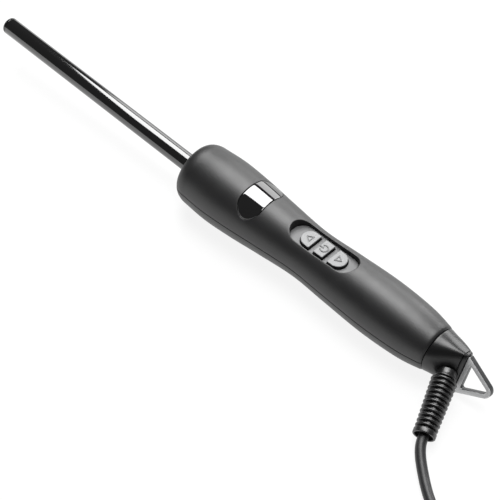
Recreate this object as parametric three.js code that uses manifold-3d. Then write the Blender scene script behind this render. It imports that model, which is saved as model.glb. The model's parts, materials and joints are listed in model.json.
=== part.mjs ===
// A slim clipless curling wand with a round barrel, a display window, three buttons, a swivelling
// tail with a hanging loop, and a mains cord that is wound up beside it.
// Millimetres, +Z up. The wand lies on the plane z = 0 with its buttons up and its barrel towards +X.
import * as THREE from "three";
import { mergeVertices } from "three/addons/utils/BufferGeometryUtils.js";
import Module from "manifold-3d";

const wasm = await Module();
wasm.setup();

// ---------------------------------------------------------------- driving dimensions
const GAP = 0.3; // clearance between pieces that touch
const RAD = Math.PI / 180;

// The handle's own frame: x runs forwards along its centre line from the front face, and z points
// to the buttons.
const HANDLE_FRONT_X = 21.07;
const HANDLE_FRONT_Z = 16.7;
const HANDLE_TILT = 1.28 * RAD; // the front bulge is thicker than the rear one, so the front sits higher
const HANDLE_LENGTH = 150;
const HANDLE_SEGMENTS = 36;
const CAVITY_SEGMENTS = 18;
const SHELL_WALL = 2.2;
const FRONT_WALL = 3.2;
const REAR_WALL = 3;
const FRONT_EDGE_LENGTH = 7; // the rounded front edge
const FRONT_EDGE_HEIGHT = 3.5;
const FRONT_EDGE_STEPS = 5;
const BULGE_START_R = 16.3;
// distance behind the front face, and radius there
const HANDLE_PROFILE = [
  [FRONT_EDGE_LENGTH, BULGE_START_R],
  [20, 16.95],
  [36, 16.1],
  [53, 14.5],
  [74, 12.9],
  [94, 13.7],
  [117, 14.5],
  [137, 13.6],
  [HANDLE_LENGTH - 1, 11.5],
];
const HANDLE_PROFILE_STEPS = 18;
const CAVITY_PROFILE_STEPS = 9;
const REAR_EDGE_R = 10.85;

// Display window: a stadium, seen from above, that wraps over the handle.
const WINDOW_X = -42;
const WINDOW_HALF_X = 6.5;
const WINDOW_HALF_Y = 12.6;
const WINDOW_THICKNESS = 1.3;
const WINDOW_LEDGE = 1.5;

// Button recess: a stadium along the handle.
const SLOT_X = -82.2;
const SLOT_HALF_X = 19.2;
const SLOT_HALF_Y = 6.4;
const SLOT_RIM = 1.2;
const SLOT_RIM_BOTTOM_Z = 7.0;
const BEZEL_TOP_Z = 9.1;
const BEZEL_FLANGE_Z = 5.6;
const BUTTON_TOP_Z = 10.9;
const BEZEL_FLANGE_WIDTH = 0.7;
const BUTTON_HALF_Y = 4.6;
const BUTTON_SPACING = 2.85; // one of the bezel's two ribs stands in each space
const BUTTON_END_LENGTH = 7.35;
const BUTTON_MIDDLE_LENGTH = 5.5;
const BUTTON_SKIRT_Z = 4.2;
const BUTTON_STEM_R = 1.6;
const BUTTON_LUG = { halfX: 2, reach: 1, height: 1 }; // catches under the bezel's flange

// Circuit board and what it carries.
const BOARD_TOP_Z = -1.0;
const BOARD_THICKNESS = 1.6;
const BOARD_FRONT_X = -36;
const BOARD_REAR_X = -112;
const BOARD_HALF_Y = 8;
const SWITCH_SIZE = 6;
const SWITCH_TOP_Z = 2.6;
const SWITCH_WELL_R = 2;
const SWITCH_WELL_FLOOR = 1; // above the board
const PLUNGER_R = 1.7;
const PLUNGER_FOOT = 2; // above the board
const PLUNGER_TOP_Z = 3.4;
const LIGHT_BOX = { halfX: 5.2, halfY: 8, wall: 1.2, topZ: 8.8 };
const SCREEN = { halfX: 4.6, halfY: 6.5, thickness: 1.8 };
const CHIP = { x: [-56.5, -49.5], y: [-3.5, 3.5], height: 1.3 };
const TRIAC = { x: [-99, -89], y: [-2.3, 2.3], height: 4.5 };
const CAPACITOR = { x: [-85, -70], y: [-3.5, 3.5], height: 6 };
const FUSE = { x: [-57, -46], y: 3.5, r: 2, drop: 2.4 };

// Barrel: its own frame starts at the handle's front face and rises a little from the handle's line.
const BARREL_TILT = 1.3 * RAD;
const BARREL_R = 4.5;
const BARREL_BORE_R = 3.95;
const BARREL_EXPOSED = 139.2;
const BARREL_TAIL = -14;
const BARREL_SEGMENTS = 28;
const CAP_LENGTH = 1.9;
const CAP_EDGE_R = 1.4;
const CAP_PLUG_R = 3.6;
const CAP_PLUG_LENGTH = 6;
const SLEEVE_R = 3.6;
const SLEEVE_BORE_R = 2.45;
const SLEEVE_FRONT = 128;
const SLEEVE_REAR = -6;
const HEATER_R = 2.1;
const HEATER_OVERHANG = 3; // behind the sleeve
const HEATER_SETBACK = 2; // behind the sleeve's front
const THERMISTOR_X = 62;
const THERMISTOR = { halfX: 2, halfY: 0.6, z: [2.45, 3.4] };
const THERMISTOR_GROOVE = { halfY: 1, beyond: 4 };
const COLLAR_R = 7.0;
const COLLAR_PROUD = 1.3;
const COLLAR_CHAMFER = 0.8;
const COLLAR_SHOULDER = 0.7; // behind the front wall
const COLLAR_FLANGE_R = 9.5;
const COLLAR_REAR_X = -6.4;
const COLLAR_BORE_R = BARREL_R + GAP;
const CLAMP_RING = { x: [-8.7, -6.7], r: 8 };
const THERMAL_FUSE = { x: [-27, -18], y: -3.4, z: -4.6, r: 1.8 };

// Swivelling tail. Its frame is the handle's, turned about the common axis.
const TAIL_TURN = 22 * RAD;
const TAIL_FRONT_X = -HANDLE_LENGTH - 0.4;
const TAIL_LENGTH = 14.9;
const TAIL_END_X = TAIL_FRONT_X - TAIL_LENGTH;
const TAIL_R = 11;
const TAIL_END_HALF_Z = 8.5;
const TAIL_END_HALF_Y = 2.75;
const TAIL_RINGS = 6;
const TAIL_SEGMENTS = 28;
const TAIL_CHAMBER_R = 6.2;
const TAIL_CHAMBER_DEPTH = 5;
const HUB_NECK_R = 5.9;
const HUB_FLANGE_R = 8.6;
const HUB_CARRIER_R = 4.6;
const HUB_BORE_R = 2.6;
const SLIP_RING_R = 5.6;
const SLIP_RING_XS = [-130.5, -137.5];
const SLIP_RING_WIDTH = 3;
const HUB_FRONT_X = -125.5;
const HUB_FLANGE_WIDTH = 1.6;
const HUB_NECK_REACH = 4.4; // into the tail's chamber
const WASHER_THICKNESS = 0.8;
const BRUSH_HOLDER = { x: [-140, -127], halfY: 4.3, z: [7.7, 8.8] };
const BRUSH_LEAF = { halfX: 1, halfY: 4.2, thickness: 0.4 };
const CORD_LEAD = { x: [-155, -126.5], y: 1.2, r: 0.8 };

// Hanging loop: a flat triangular ring in the tail's x-z plane.
const LOOP_LENGTH = 16.6;
const LOOP_HALF = 10.2;
const LOOP_CENTRE_Z = -2.1;
const LOOP_BAR = 2.2;
const LOOP_THICKNESS = 3.0;
const LOOP_TIP_R = 3.6;
const TONGUE_HALF = 4.6;
const TONGUE_THICKNESS = 2.2;
const TONGUE_LENGTH = 3.2;
const LOOP_PIN_R = 0.8;
const LOOP_PIN_HALF = 2.5;
const LOOP_PIN_HOLE_HALF = 2.9;

// Strain relief, in the handle's frame at rest.
const RELIEF_ROOT_X = -158.5;
const RELIEF_DIRECTION = new THREE.Vector3(-0.368, 0.907, -0.202).normalize();
const RELIEF_START = 3.6;
const RELIEF_PLUG_END = 5.6;
const RELIEF_RINGS_START = 9.5;
const RELIEF_RINGS = 11;
const RELIEF_PITCH = 2.27;
const RELIEF_END = 37.8;
const RELIEF_PLUG_R = 2.7;
const RELIEF_START_R = 4.35; // the plain stretch before the ribs
const RELIEF_RIB_R = 5.95; // the first rib, from which the ribs taper to the end
const RELIEF_END_R = 5.2;
const RELIEF_GROOVE = 1.2;
const RELIEF_CHAMFER = 0.6;
const RELIEF_BORE_R = 1.6;

// Cord.
const CORD_R = 2.4;
const CORD_SIDES = 10;
// The stretch from the strain relief to the coil, chosen by hand.
const CORD_ROUTE = [
  [-151.3, 34.7, 5.12],
  [-152.4, 37.2, 4.8],
  [-153.9, 39.5, 4.4],
  [-156.1, 42.0, 3.8],
  [-159.4, 45.0, 3.1],
  [-163.0, 48.0, 2.6],
  [-167.1, 51.3, 2.5],
  [-171.9, 54.7, 2.5],
  [-181.0, 59.7, 2.6],
  [-190.9, 62.8, 2.8],
  [-200.4, 63.7, 3.0],
  [-210.8, 63.7, 3.2],
  [-221.1, 63.7, 3.4],
];
const CORD_STEPS = 10;
// The coil that holds the rest, as a ring that stands on its tie.
const COIL_CENTRE = [-241.0, 25.0];
const COIL_MEAN_R = 29;
const COIL_COLUMNS = 5;
const COIL_LAYERS = 2;
const COIL_PITCH = 4.85;
const COIL_BASE_Z = 0.95;
const COIL_BEVEL = 1.2;
const COIL_SEGMENTS = 32;
const TIE_THICKNESS = 0.6;
const TIE_WIDTH = 11;
const TIE_ANGLE = 280 * RAD;
const TIE_FLOOR_Z = 0.02;
const TIE_SAG = 1.2; // the ring curves away under the flat band
// The stretch from the coil to the plug, chosen by hand.
const PLUG_LEAD_ROUTE = [
  [-279.4, 45.35, 7.0],
  [-281.1, 44.15, 6.9],
  [-282.75, 43.0, 6.85],
];
const PLUG_LEAD_STEPS = 2;
const PLUG_POINT = [-283.1, 42.75]; // where the lead enters the plug's own relief
const PLUG_HEADING = 215 * RAD;
const PLUG_HEIGHT = 13.7;
const PLUG_RELIEF_LENGTH = 12;
const PLUG_RELIEF_START_R = 3.1;
const PLUG_RELIEF_END_R = 4.4;
const PLUG_LENGTH = 36;
const PLUG_HALF_WIDTH = 17.5;
const PLUG_NECK_HALF_WIDTH = 7;
const PLUG_SHOULDER = 15;
const PIN_R = 2;
const PIN_SPACING = 18.6;
const PIN_EXPOSED = 19;
const PIN_BURIED = 8;

// Shell screws: place on the seam plane, in the handle's frame.
const SHELL_SCREWS = [
  [-26, 9.2],
  [-26, -9.2],
  [-118.5, 0],
];
const BOSS_R = 2.7;
const BOSS_BORE_R = 1.4;
const COUNTERBORE_R = 2.4;
const COUNTERBORE_TOP_Z = -6;
const SCREW_SHANK_R = 1.1;
const SCREW_HEAD_R = 2.1;
const SCREW_HEAD_HEIGHT = 1.6;
const SCREW_TIP_Z = 5;
const PILOT_TOP_Z = 6;
const BOARD_SCREW_XS = [-60.5, -105.5];
const BOARD_SCREW_HEAD = 1.2;
const BOARD_SCREW_END_Z = -7.5;
const BOARD_PILOT_BOTTOM_Z = -9;

// ---------------------------------------------------------------- materials
function material(color, roughness, metalness) {
  return new THREE.MeshStandardMaterial({ color, roughness, metalness });
}
const SOFT_TOUCH = material(0x3a3b3d, 0.55, 0);
const GLOSS_BLACK = material(0x0b0b0c, 0.15, 0);
const BARREL_COAT = material(0x101011, 0.12, 0.3);
const WINDOW_BLACK = material(0x050506, 0.05, 0);
const SILVER_GREY = material(0xb9babb, 0.4, 0.2);
const LOOP_SILVER = material(0xcfd0d2, 0.3, 0.4);
const BLACK_RUBBER = material(0x161617, 0.5, 0);
const CORD_BLACK = material(0x1c1c1e, 0.45, 0);
const HEAT_PLASTIC = material(0x1a1a1a, 0.4, 0);
const WHITE_PLASTIC = material(0xe6e6e2, 0.5, 0);
const CERAMIC = material(0xf1efe8, 0.6, 0);
const STEEL = material(0xb0b2b5, 0.3, 1);
const BRASS = material(0xc9a24a, 0.3, 1);
const BOARD_GREEN = material(0x1d5a34, 0.5, 0);
const CHIP_BLACK = material(0x18181a, 0.6, 0);
const GLASS = material(0xdfe8ea, 0.1, 0);
const RED_WIRE = material(0xa8322a, 0.5, 0);
const BLUE_WIRE = material(0x2d5ea8, 0.5, 0);
const WHITE_WIRE = material(0xe8e6df, 0.5, 0);

// ---------------------------------------------------------------- solids
// A closed three.js geometry as a manifold-3d solid, with slivers on a lathe's axis left out.
function solid(geometry) {
  const bare = geometry.index ? geometry.toNonIndexed() : geometry.clone();
  bare.deleteAttribute("normal");
  bare.deleteAttribute("uv");
  const merged = mergeVertices(bare, 1e-4);
  const index = merged.index.array;
  const kept = [];
  for (let i = 0; i < index.length; i += 3) {
    const [a, b, c] = [index[i], index[i + 1], index[i + 2]];
    if (a !== b && b !== c && c !== a) kept.push(a, b, c);
  }
  return new wasm.Manifold(
    new wasm.Mesh({
      numProp: 3,
      vertProperties: merged.attributes.position.array,
      triVerts: new Uint32Array(kept),
    }),
  );
}

function geometryOf(body) {
  const mesh = body.getMesh();
  const geometry = new THREE.BufferGeometry();
  geometry.setAttribute("position", new THREE.BufferAttribute(mesh.vertProperties, 3));
  geometry.setIndex(new THREE.BufferAttribute(mesh.triVerts, 1));
  geometry.computeVertexNormals();
  return geometry;
}

// A body of revolution about +X from a profile of [x, radius] points, which closes on itself.
function turned(profile, segments) {
  const points = profile.map(([x, r]) => new THREE.Vector2(Math.max(r, 0), x));
  const area = THREE.ShapeUtils.area(points);
  if (area < 0) points.reverse();
  points.push(points[0].clone());
  const lathe = new THREE.LatheGeometry(points, segments);
  return solid(lathe.rotateZ(-Math.PI / 2));
}

function tube(x0, x1, outer, inner, segments) {
  return turned(
    [
      [x0, outer],
      [x1, outer],
      [x1, inner],
      [x0, inner],
    ],
    segments,
  );
}

function rod(x0, x1, radius, segments) {
  return turned(
    [
      [x0, 0],
      [x0, radius],
      [x1, radius],
      [x1, 0],
    ],
    segments,
  );
}

function block([x0, x1], [y0, y1], [z0, z1]) {
  const box = new THREE.BoxGeometry(x1 - x0, y1 - y0, z1 - z0);
  box.translate((x0 + x1) / 2, (y0 + y1) / 2, (z0 + z1) / 2);
  return solid(box);
}

// A cylinder along +Z.
function post(x, y, z0, z1, radius, segments) {
  const cylinder = new THREE.CylinderGeometry(radius, radius, z1 - z0, segments);
  cylinder.rotateX(Math.PI / 2);
  cylinder.translate(x, y, (z0 + z1) / 2);
  return solid(cylinder);
}

// A flat outline pushed up from z0 to z1.
function prism(shape, z0, z1, curveSegments = 10) {
  const settings = { depth: z1 - z0, bevelEnabled: false, curveSegments };
  const geometry = new THREE.ExtrudeGeometry(shape, settings);
  return solid(geometry.translate(0, 0, z0));
}

// A stadium about (x, y) with half sizes hx and hy; the round ends are on the longer axis.
function stadium(x, y, hx, hy) {
  const shape = new THREE.Shape();
  const r = Math.min(hx, hy);
  const dx = hx - r;
  const dy = hy - r;
  if (dx > 0) {
    shape.absarc(x + dx, y, r, -Math.PI / 2, Math.PI / 2);
    shape.absarc(x - dx, y, r, Math.PI / 2, (3 * Math.PI) / 2);
  } else {
    shape.absarc(x, y + dy, r, 0, Math.PI);
    shape.absarc(x, y - dy, r, Math.PI, 2 * Math.PI);
  }
  return shape;
}

// A closed tube of round section along a smooth curve through the points.
function wire(points, radius, steps, sides = 6) {
  const path = new THREE.CatmullRomCurve3(points.map((p) => new THREE.Vector3(...p)));
  const section = new THREE.Shape();
  for (let i = 0; i < sides; i++) {
    const angle = (2 * Math.PI * i) / sides;
    const corner = [radius * Math.cos(angle), radius * Math.sin(angle)];
    if (i === 0) section.moveTo(...corner);
    else section.lineTo(...corner);
  }
  const settings = { extrudePath: path, steps, bevelEnabled: false };
  return solid(new THREE.ExtrudeGeometry(section, settings));
}

function placed(body, matrix) {
  return solid(geometryOf(body).applyMatrix4(matrix));
}

function joined(bodies) {
  return bodies.reduce((sum, body) => sum.add(body));
}

function add(parent, name, body, look) {
  const mesh = new THREE.Mesh(geometryOf(body), look);
  mesh.name = name;
  parent.add(mesh);
}

// ---------------------------------------------------------------- frames
const wand = new THREE.Group();
const handle = new THREE.Group();
handle.position.set(HANDLE_FRONT_X, 0, HANDLE_FRONT_Z);
handle.rotation.y = -HANDLE_TILT;
const barrel = new THREE.Group();
barrel.rotation.y = -BARREL_TILT;
const tail = new THREE.Group();
tail.rotation.x = TAIL_TURN;
handle.add(barrel, tail);
wand.add(handle);
handle.updateMatrix();
barrel.updateMatrix();
tail.updateMatrix();

// ---------------------------------------------------------------- handle shells
// The handle's outline, moved inwards by inset, as [x, radius] points from front to rear.
function handleOutline(inset, steps) {
  const points = [];
  for (let i = 0; i < FRONT_EDGE_STEPS; i++) {
    const t = i / FRONT_EDGE_STEPS;
    const rise = Math.sqrt(1 - (1 - t) ** 2);
    const r = BULGE_START_R - FRONT_EDGE_HEIGHT * (1 - rise);
    points.push([-FRONT_EDGE_LENGTH * t, r - inset]);
  }
  const curve = new THREE.SplineCurve(HANDLE_PROFILE.map(([l, r]) => new THREE.Vector2(-l, r)));
  for (const p of curve.getPoints(steps)) points.push([p.x, p.y - inset]);
  points.push([-HANDLE_LENGTH, REAR_EDGE_R - inset]);
  return points;
}

function handleSolid(inset, segments = HANDLE_SEGMENTS, steps = HANDLE_PROFILE_STEPS) {
  const outline = handleOutline(inset, steps);
  return turned([[0, 0], ...outline, [-HANDLE_LENGTH, 0]], segments);
}

function handleCavity() {
  const half = 30;
  const room = block([-HANDLE_LENGTH + REAR_WALL, -FRONT_WALL], [-half, half], [-half, half]);
  return handleSolid(SHELL_WALL, CAVITY_SEGMENTS, CAVITY_PROFILE_STEPS).intersect(room);
}

const FAR = 40; // beyond the handle on every side
const LONG = 200;
const upperHalf = block([-LONG, LONG], [-FAR, FAR], [GAP / 2, FAR]);
const lowerHalf = block([-LONG, LONG], [-FAR, FAR], [-FAR, -GAP / 2]);
const belowTable = placed(
  block([-LONG, LONG], [-FAR, FAR], [-FAR, 0]),
  handle.matrix.clone().invert(),
);
const collarHole = placed(rod(-FRONT_WALL - 3, 3, COLLAR_R + GAP, 24), barrel.matrix);
const swivelHole = rod(-HANDLE_LENGTH - 1, -HANDLE_LENGTH + REAR_WALL + 1, HUB_NECK_R + GAP, 24);

function upperShell() {
  const rim = prism(
    stadium(SLOT_X, 0, SLOT_HALF_X + SLOT_RIM, SLOT_HALF_Y + SLOT_RIM),
    SLOT_RIM_BOTTOM_Z,
    FAR,
  );
  const slot = prism(stadium(SLOT_X, 0, SLOT_HALF_X, SLOT_HALF_Y), BEZEL_FLANGE_Z, FAR);
  const seat = prism(stadium(WINDOW_X, 0, WINDOW_HALF_X, WINDOW_HALF_Y), 1, FAR);
  const opening = prism(
    stadium(WINDOW_X, 0, WINDOW_HALF_X - WINDOW_LEDGE, WINDOW_HALF_Y - WINDOW_LEDGE),
    1,
    FAR,
  );
  const bosses = SHELL_SCREWS.map(([x, y]) => post(x, y, GAP / 2, FAR, BOSS_R, 16));
  const pilots = SHELL_SCREWS.map(([x, y]) => post(x, y, -1, PILOT_TOP_Z, BOSS_BORE_R, 10));
  return handleSolid(0)
    .subtract(handleCavity())
    .add(joined([rim, ...bosses]).intersect(handleSolid(SHELL_WALL / 2)))
    .intersect(upperHalf)
    .subtract(slot)
    .subtract(seat.subtract(handleSolid(WINDOW_THICKNESS + GAP)))
    .subtract(opening)
    .subtract(joined(pilots))
    .subtract(collarHole)
    .subtract(swivelHole);
}

function lowerShell() {
  const bosses = SHELL_SCREWS.map(([x, y]) => post(x, y, -FAR, -GAP / 2, BOSS_R + 0.5, 16));
  const posts = BOARD_SCREW_XS.map((x) =>
    post(x, 0, -FAR, BOARD_TOP_Z - BOARD_THICKNESS - GAP, BOSS_R, 12),
  );
  const bores = SHELL_SCREWS.map(([x, y]) => post(x, y, -FAR, 1, BOSS_BORE_R, 10));
  const counterbores = SHELL_SCREWS.map(([x, y]) =>
    post(x, y, -FAR, COUNTERBORE_TOP_Z, COUNTERBORE_R, 16),
  );
  const pilots = BOARD_SCREW_XS.map((x) => post(x, 0, BOARD_PILOT_BOTTOM_Z, 0, BOSS_BORE_R, 10));
  return handleSolid(0)
    .subtract(handleCavity())
    .add(joined([...bosses, ...posts]).intersect(handleSolid(SHELL_WALL / 2)))
    .intersect(lowerHalf)
    .subtract(joined([...bores, ...counterbores, ...pilots]))
    .subtract(collarHole)
    .subtract(swivelHole)
    .subtract(belowTable);
}

function screw(x, y, headBottomZ, headTopZ, shankEnd) {
  const head = post(x, y, headBottomZ, headTopZ, SCREW_HEAD_R, 12);
  const middle = (headBottomZ + headTopZ) / 2;
  const shank = post(x, y, Math.min(middle, shankEnd), Math.max(middle, shankEnd), SCREW_SHANK_R, 8);
  return head.add(shank);
}

function addShells() {
  add(handle, "upper_shell", upperShell(), SOFT_TOUCH);
  add(handle, "lower_shell", lowerShell(), SOFT_TOUCH);
  const headTop = COUNTERBORE_TOP_Z - GAP;
  SHELL_SCREWS.forEach(([x, y], i) => {
    const fastener = screw(x, y, headTop - SCREW_HEAD_HEIGHT, headTop, SCREW_TIP_Z);
    add(handle, "shell_screw_" + (i + 1), fastener, STEEL);
  });
}

// ---------------------------------------------------------------- display
function addDisplay() {
  const outline = stadium(WINDOW_X, 0, WINDOW_HALF_X - GAP, WINDOW_HALF_Y - GAP);
  const skin = handleSolid(0.05).subtract(handleSolid(WINDOW_THICKNESS));
  add(handle, "display_window", prism(outline, 1, FAR).intersect(skin), WINDOW_BLACK);

  const { halfX, halfY, wall, topZ } = LIGHT_BOX;
  const boxZ = [BOARD_TOP_Z + GAP, topZ];
  const outer = block([WINDOW_X - halfX, WINDOW_X + halfX], [-halfY, halfY], boxZ);
  const inner = block(
    [WINDOW_X - halfX + wall, WINDOW_X + halfX - wall],
    [-halfY + wall, halfY - wall],
    [-FAR, FAR],
  );
  add(handle, "display_light_box", outer.subtract(inner), WHITE_PLASTIC);
  const screen = block(
    [WINDOW_X - SCREEN.halfX, WINDOW_X + SCREEN.halfX],
    [-SCREEN.halfY, SCREEN.halfY],
    [topZ + GAP, topZ + GAP + SCREEN.thickness],
  );
  add(handle, "display_screen", screen, CHIP_BLACK);
}

// ---------------------------------------------------------------- buttons
const BUTTON_GROUP_HALF_X = BUTTON_END_LENGTH + BUTTON_MIDDLE_LENGTH / 2 + BUTTON_SPACING;
const BUTTON_PITCH = (BUTTON_END_LENGTH + BUTTON_MIDDLE_LENGTH) / 2 + BUTTON_SPACING;
const BUTTONS = [
  { name: "up", x: SLOT_X + BUTTON_PITCH, length: BUTTON_END_LENGTH },
  { name: "power", x: SLOT_X, length: BUTTON_MIDDLE_LENGTH },
  { name: "down", x: SLOT_X - BUTTON_PITCH, length: BUTTON_END_LENGTH },
];

// The three button outlines in one stadium, grown by margin on every side, from z0 to z1.
function buttonPrisms(margin, z0, z1) {
  const outline = stadium(SLOT_X, 0, BUTTON_GROUP_HALF_X + margin, BUTTON_HALF_Y + margin);
  const group = prism(outline, z0, z1);
  return BUTTONS.map(({ x, length }) => {
    const reach = length / 2 + margin;
    return group.intersect(block([x - reach, x + reach], [-FAR, FAR], [-FAR, FAR]));
  });
}

function buttonBezel() {
  const plateOutline = stadium(SLOT_X, 0, SLOT_HALF_X - GAP, SLOT_HALF_Y - GAP);
  const plate = prism(plateOutline, BEZEL_FLANGE_Z, BEZEL_TOP_Z);
  const flangeOutline = stadium(
    SLOT_X,
    0,
    SLOT_HALF_X + BEZEL_FLANGE_WIDTH,
    SLOT_HALF_Y + BEZEL_FLANGE_WIDTH,
  );
  const flange = prism(flangeOutline, BEZEL_FLANGE_Z, SLOT_RIM_BOTTOM_Z - GAP);
  return plate.add(flange).subtract(joined(buttonPrisms(GAP, 0, FAR)));
}

function buttonCap(cap, x) {
  const { halfX, reach, height } = BUTTON_LUG;
  const lugHalfY = BUTTON_HALF_Y + reach;
  const lugTop = BUTTON_SKIRT_Z + height;
  const lug = block([x - halfX, x + halfX], [-lugHalfY, lugHalfY], [BUTTON_SKIRT_Z, lugTop]);
  const stem = post(x, 0, PLUNGER_TOP_Z + GAP, lugTop, BUTTON_STEM_R, 12);
  return joined([cap, lug, stem]);
}

function addButtons() {
  add(handle, "button_bezel", buttonBezel(), SILVER_GREY);
  const caps = buttonPrisms(0, BUTTON_SKIRT_Z, BUTTON_TOP_Z);
  BUTTONS.forEach(({ name, x }, i) => {
    add(handle, "button_" + name, buttonCap(caps[i], x), SILVER_GREY);
    const half = SWITCH_SIZE / 2;
    const body = block([x - half, x + half], [-half, half], [BOARD_TOP_Z + GAP, SWITCH_TOP_Z]);
    const well = post(x, 0, BOARD_TOP_Z + SWITCH_WELL_FLOOR, FAR, SWITCH_WELL_R, 12);
    add(handle, "switch_body_" + name, body.subtract(well), CHIP_BLACK);
    const plunger = post(x, 0, BOARD_TOP_Z + PLUNGER_FOOT, PLUNGER_TOP_Z, PLUNGER_R, 12);
    add(handle, "switch_plunger_" + name, plunger, WHITE_PLASTIC);
  });
}

// ---------------------------------------------------------------- circuit board
function addElectronics() {
  const bottom = BOARD_TOP_Z - BOARD_THICKNESS;
  const boardZ = [bottom, BOARD_TOP_Z];
  const board = block([BOARD_REAR_X, BOARD_FRONT_X], [-BOARD_HALF_Y, BOARD_HALF_Y], boardZ);
  const holes = BOARD_SCREW_XS.map((x) => post(x, 0, -FAR, FAR, BOSS_BORE_R, 10));
  add(handle, "circuit_board", board.subtract(joined(holes)), BOARD_GREEN);
  const above = BOARD_TOP_Z + GAP;
  BOARD_SCREW_XS.forEach((x, i) => {
    const fastener = screw(x, 0, above, above + BOARD_SCREW_HEAD, BOARD_SCREW_END_Z);
    add(handle, "board_screw_" + (i + 1), fastener, STEEL);
  });

  const under = bottom - GAP;
  const chip = block(CHIP.x, CHIP.y, [above, above + CHIP.height]);
  add(handle, "microcontroller", chip, CHIP_BLACK);
  add(handle, "triac", block(TRIAC.x, TRIAC.y, [under - TRIAC.height, under]), CHIP_BLACK);
  const capacitor = block(CAPACITOR.x, CAPACITOR.y, [under - CAPACITOR.height, under]);
  add(handle, "filter_capacitor", capacitor, RED_WIRE);
  const fuse = rod(...FUSE.x, FUSE.r, 12).translate([0, FUSE.y, under - FUSE.drop]);
  add(handle, "glass_fuse", fuse, GLASS);
}

// ---------------------------------------------------------------- barrel
function barrelCap() {
  const seam = BARREL_EXPOSED - CAP_LENGTH;
  const edge = [];
  for (let i = 0; i <= 4; i++) {
    const angle = (i / 4) * (Math.PI / 2);
    edge.push([
      BARREL_EXPOSED - CAP_EDGE_R + CAP_EDGE_R * Math.sin(angle),
      BARREL_R - CAP_EDGE_R + CAP_EDGE_R * Math.cos(angle),
    ]);
  }
  const profile = [
    [seam - CAP_PLUG_LENGTH, 0],
    [seam - CAP_PLUG_LENGTH, CAP_PLUG_R],
    [seam, CAP_PLUG_R],
    [seam, BARREL_R],
    ...edge,
    [BARREL_EXPOSED, 0],
  ];
  return turned(profile, BARREL_SEGMENTS);
}

function barrelCollar() {
  const shoulder = -FRONT_WALL - COLLAR_SHOULDER;
  const profile = [
    [COLLAR_REAR_X, COLLAR_BORE_R],
    [COLLAR_REAR_X, COLLAR_FLANGE_R],
    [shoulder, COLLAR_FLANGE_R],
    [shoulder, COLLAR_R],
    [COLLAR_PROUD - COLLAR_CHAMFER, COLLAR_R],
    [COLLAR_PROUD, COLLAR_R - COLLAR_CHAMFER],
    [COLLAR_PROUD, COLLAR_BORE_R],
  ];
  return turned(profile, 24);
}

function addBarrel() {
  const tubeFront = BARREL_EXPOSED - CAP_LENGTH - GAP;
  const shell = tube(BARREL_TAIL, tubeFront, BARREL_R, BARREL_BORE_R, BARREL_SEGMENTS);
  add(barrel, "barrel_tube", shell, BARREL_COAT);
  add(barrel, "barrel_end_cap", barrelCap(), BARREL_COAT);
  const grooveX = [SLEEVE_REAR - 1, THERMISTOR_X + THERMISTOR_GROOVE.beyond];
  const groove = block(grooveX, [-THERMISTOR_GROOVE.halfY, THERMISTOR_GROOVE.halfY], [0, FAR]);
  const sleeve = tube(SLEEVE_REAR, SLEEVE_FRONT, SLEEVE_R, SLEEVE_BORE_R, 20).subtract(groove);
  add(barrel, "heater_sleeve", sleeve, CERAMIC);
  const heaterX = [SLEEVE_REAR - HEATER_OVERHANG, SLEEVE_FRONT - HEATER_SETBACK];
  add(barrel, "heater_rod", rod(...heaterX, HEATER_R, 12), STEEL);
  const { halfX, halfY, z } = THERMISTOR;
  const bead = block([THERMISTOR_X - halfX, THERMISTOR_X + halfX], [-halfY, halfY], z);
  add(barrel, "thermistor", bead, CERAMIC);
  add(barrel, "barrel_collar", barrelCollar(), HEAT_PLASTIC);
  add(barrel, "barrel_clamp_ring", tube(...CLAMP_RING.x, CLAMP_RING.r, COLLAR_BORE_R, 20), STEEL);
  const { x, y, z: fuseZ, r } = THERMAL_FUSE;
  add(handle, "thermal_fuse", rod(...x, r, 10).translate([0, y, fuseZ]), STEEL);
}

// ---------------------------------------------------------------- wiring inside the handle
const HEATER_LEAD_R = 0.7;
const THERMISTOR_LEAD_R = 0.35;
const BRUSH_LEAD_R = 0.6;
const THERMISTOR_LEAD_Z = 2.95;

function addHandleWiring() {
  const leads = [
    ["heater_lead_live", RED_WIRE, 1],
    ["heater_lead_neutral", BLUE_WIRE, -1],
  ];
  for (const [name, look, side] of leads) {
    const points = [
      [-15, side * 1.1, -0.4],
      [-22, side * 1.6, 0.4],
      [-27, side * 3, 0.8],
      [-31, side * 7.6, 0.6],
      [-35, side * 10, 0.2],
      [-40, side * 10.4, 0.2],
      [-47, side * 10.4, 0.2],
    ];
    add(handle, name, wire(points, HEATER_LEAD_R, 12), look);
  }
  const sensor = [
    [THERMISTOR_X - THERMISTOR.halfX - GAP, 0, THERMISTOR_LEAD_Z],
    [THERMISTOR_X / 2, 0, THERMISTOR_LEAD_Z],
    [SLEEVE_REAR - 2, 0, THERMISTOR_LEAD_Z],
    [BARREL_TAIL - 4, 0, 3.2],
    [-26, 0, 4.2],
    [-33, 0, 4.4],
  ];
  add(barrel, "thermistor_lead", wire(sensor, THERMISTOR_LEAD_R, 16), WHITE_WIRE);
}

// ---------------------------------------------------------------- swivel contacts
// A springy leaf that lies on a slip ring, with two legs up to its holder.
function brushContact(x) {
  const { halfX, halfY, thickness } = BRUSH_LEAF;
  const spanX = [x - halfX, x + halfX];
  const leafZ = SLIP_RING_R + GAP;
  const leaf = block(spanX, [-halfY, halfY], [leafZ, leafZ + thickness]);
  const legZ = [leafZ, BRUSH_HOLDER.z[0] - GAP];
  const right = block(spanX, [halfY - thickness, halfY], legZ);
  const left = block(spanX, [-halfY, thickness - halfY], legZ);
  return joined([leaf, right, left]);
}

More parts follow.
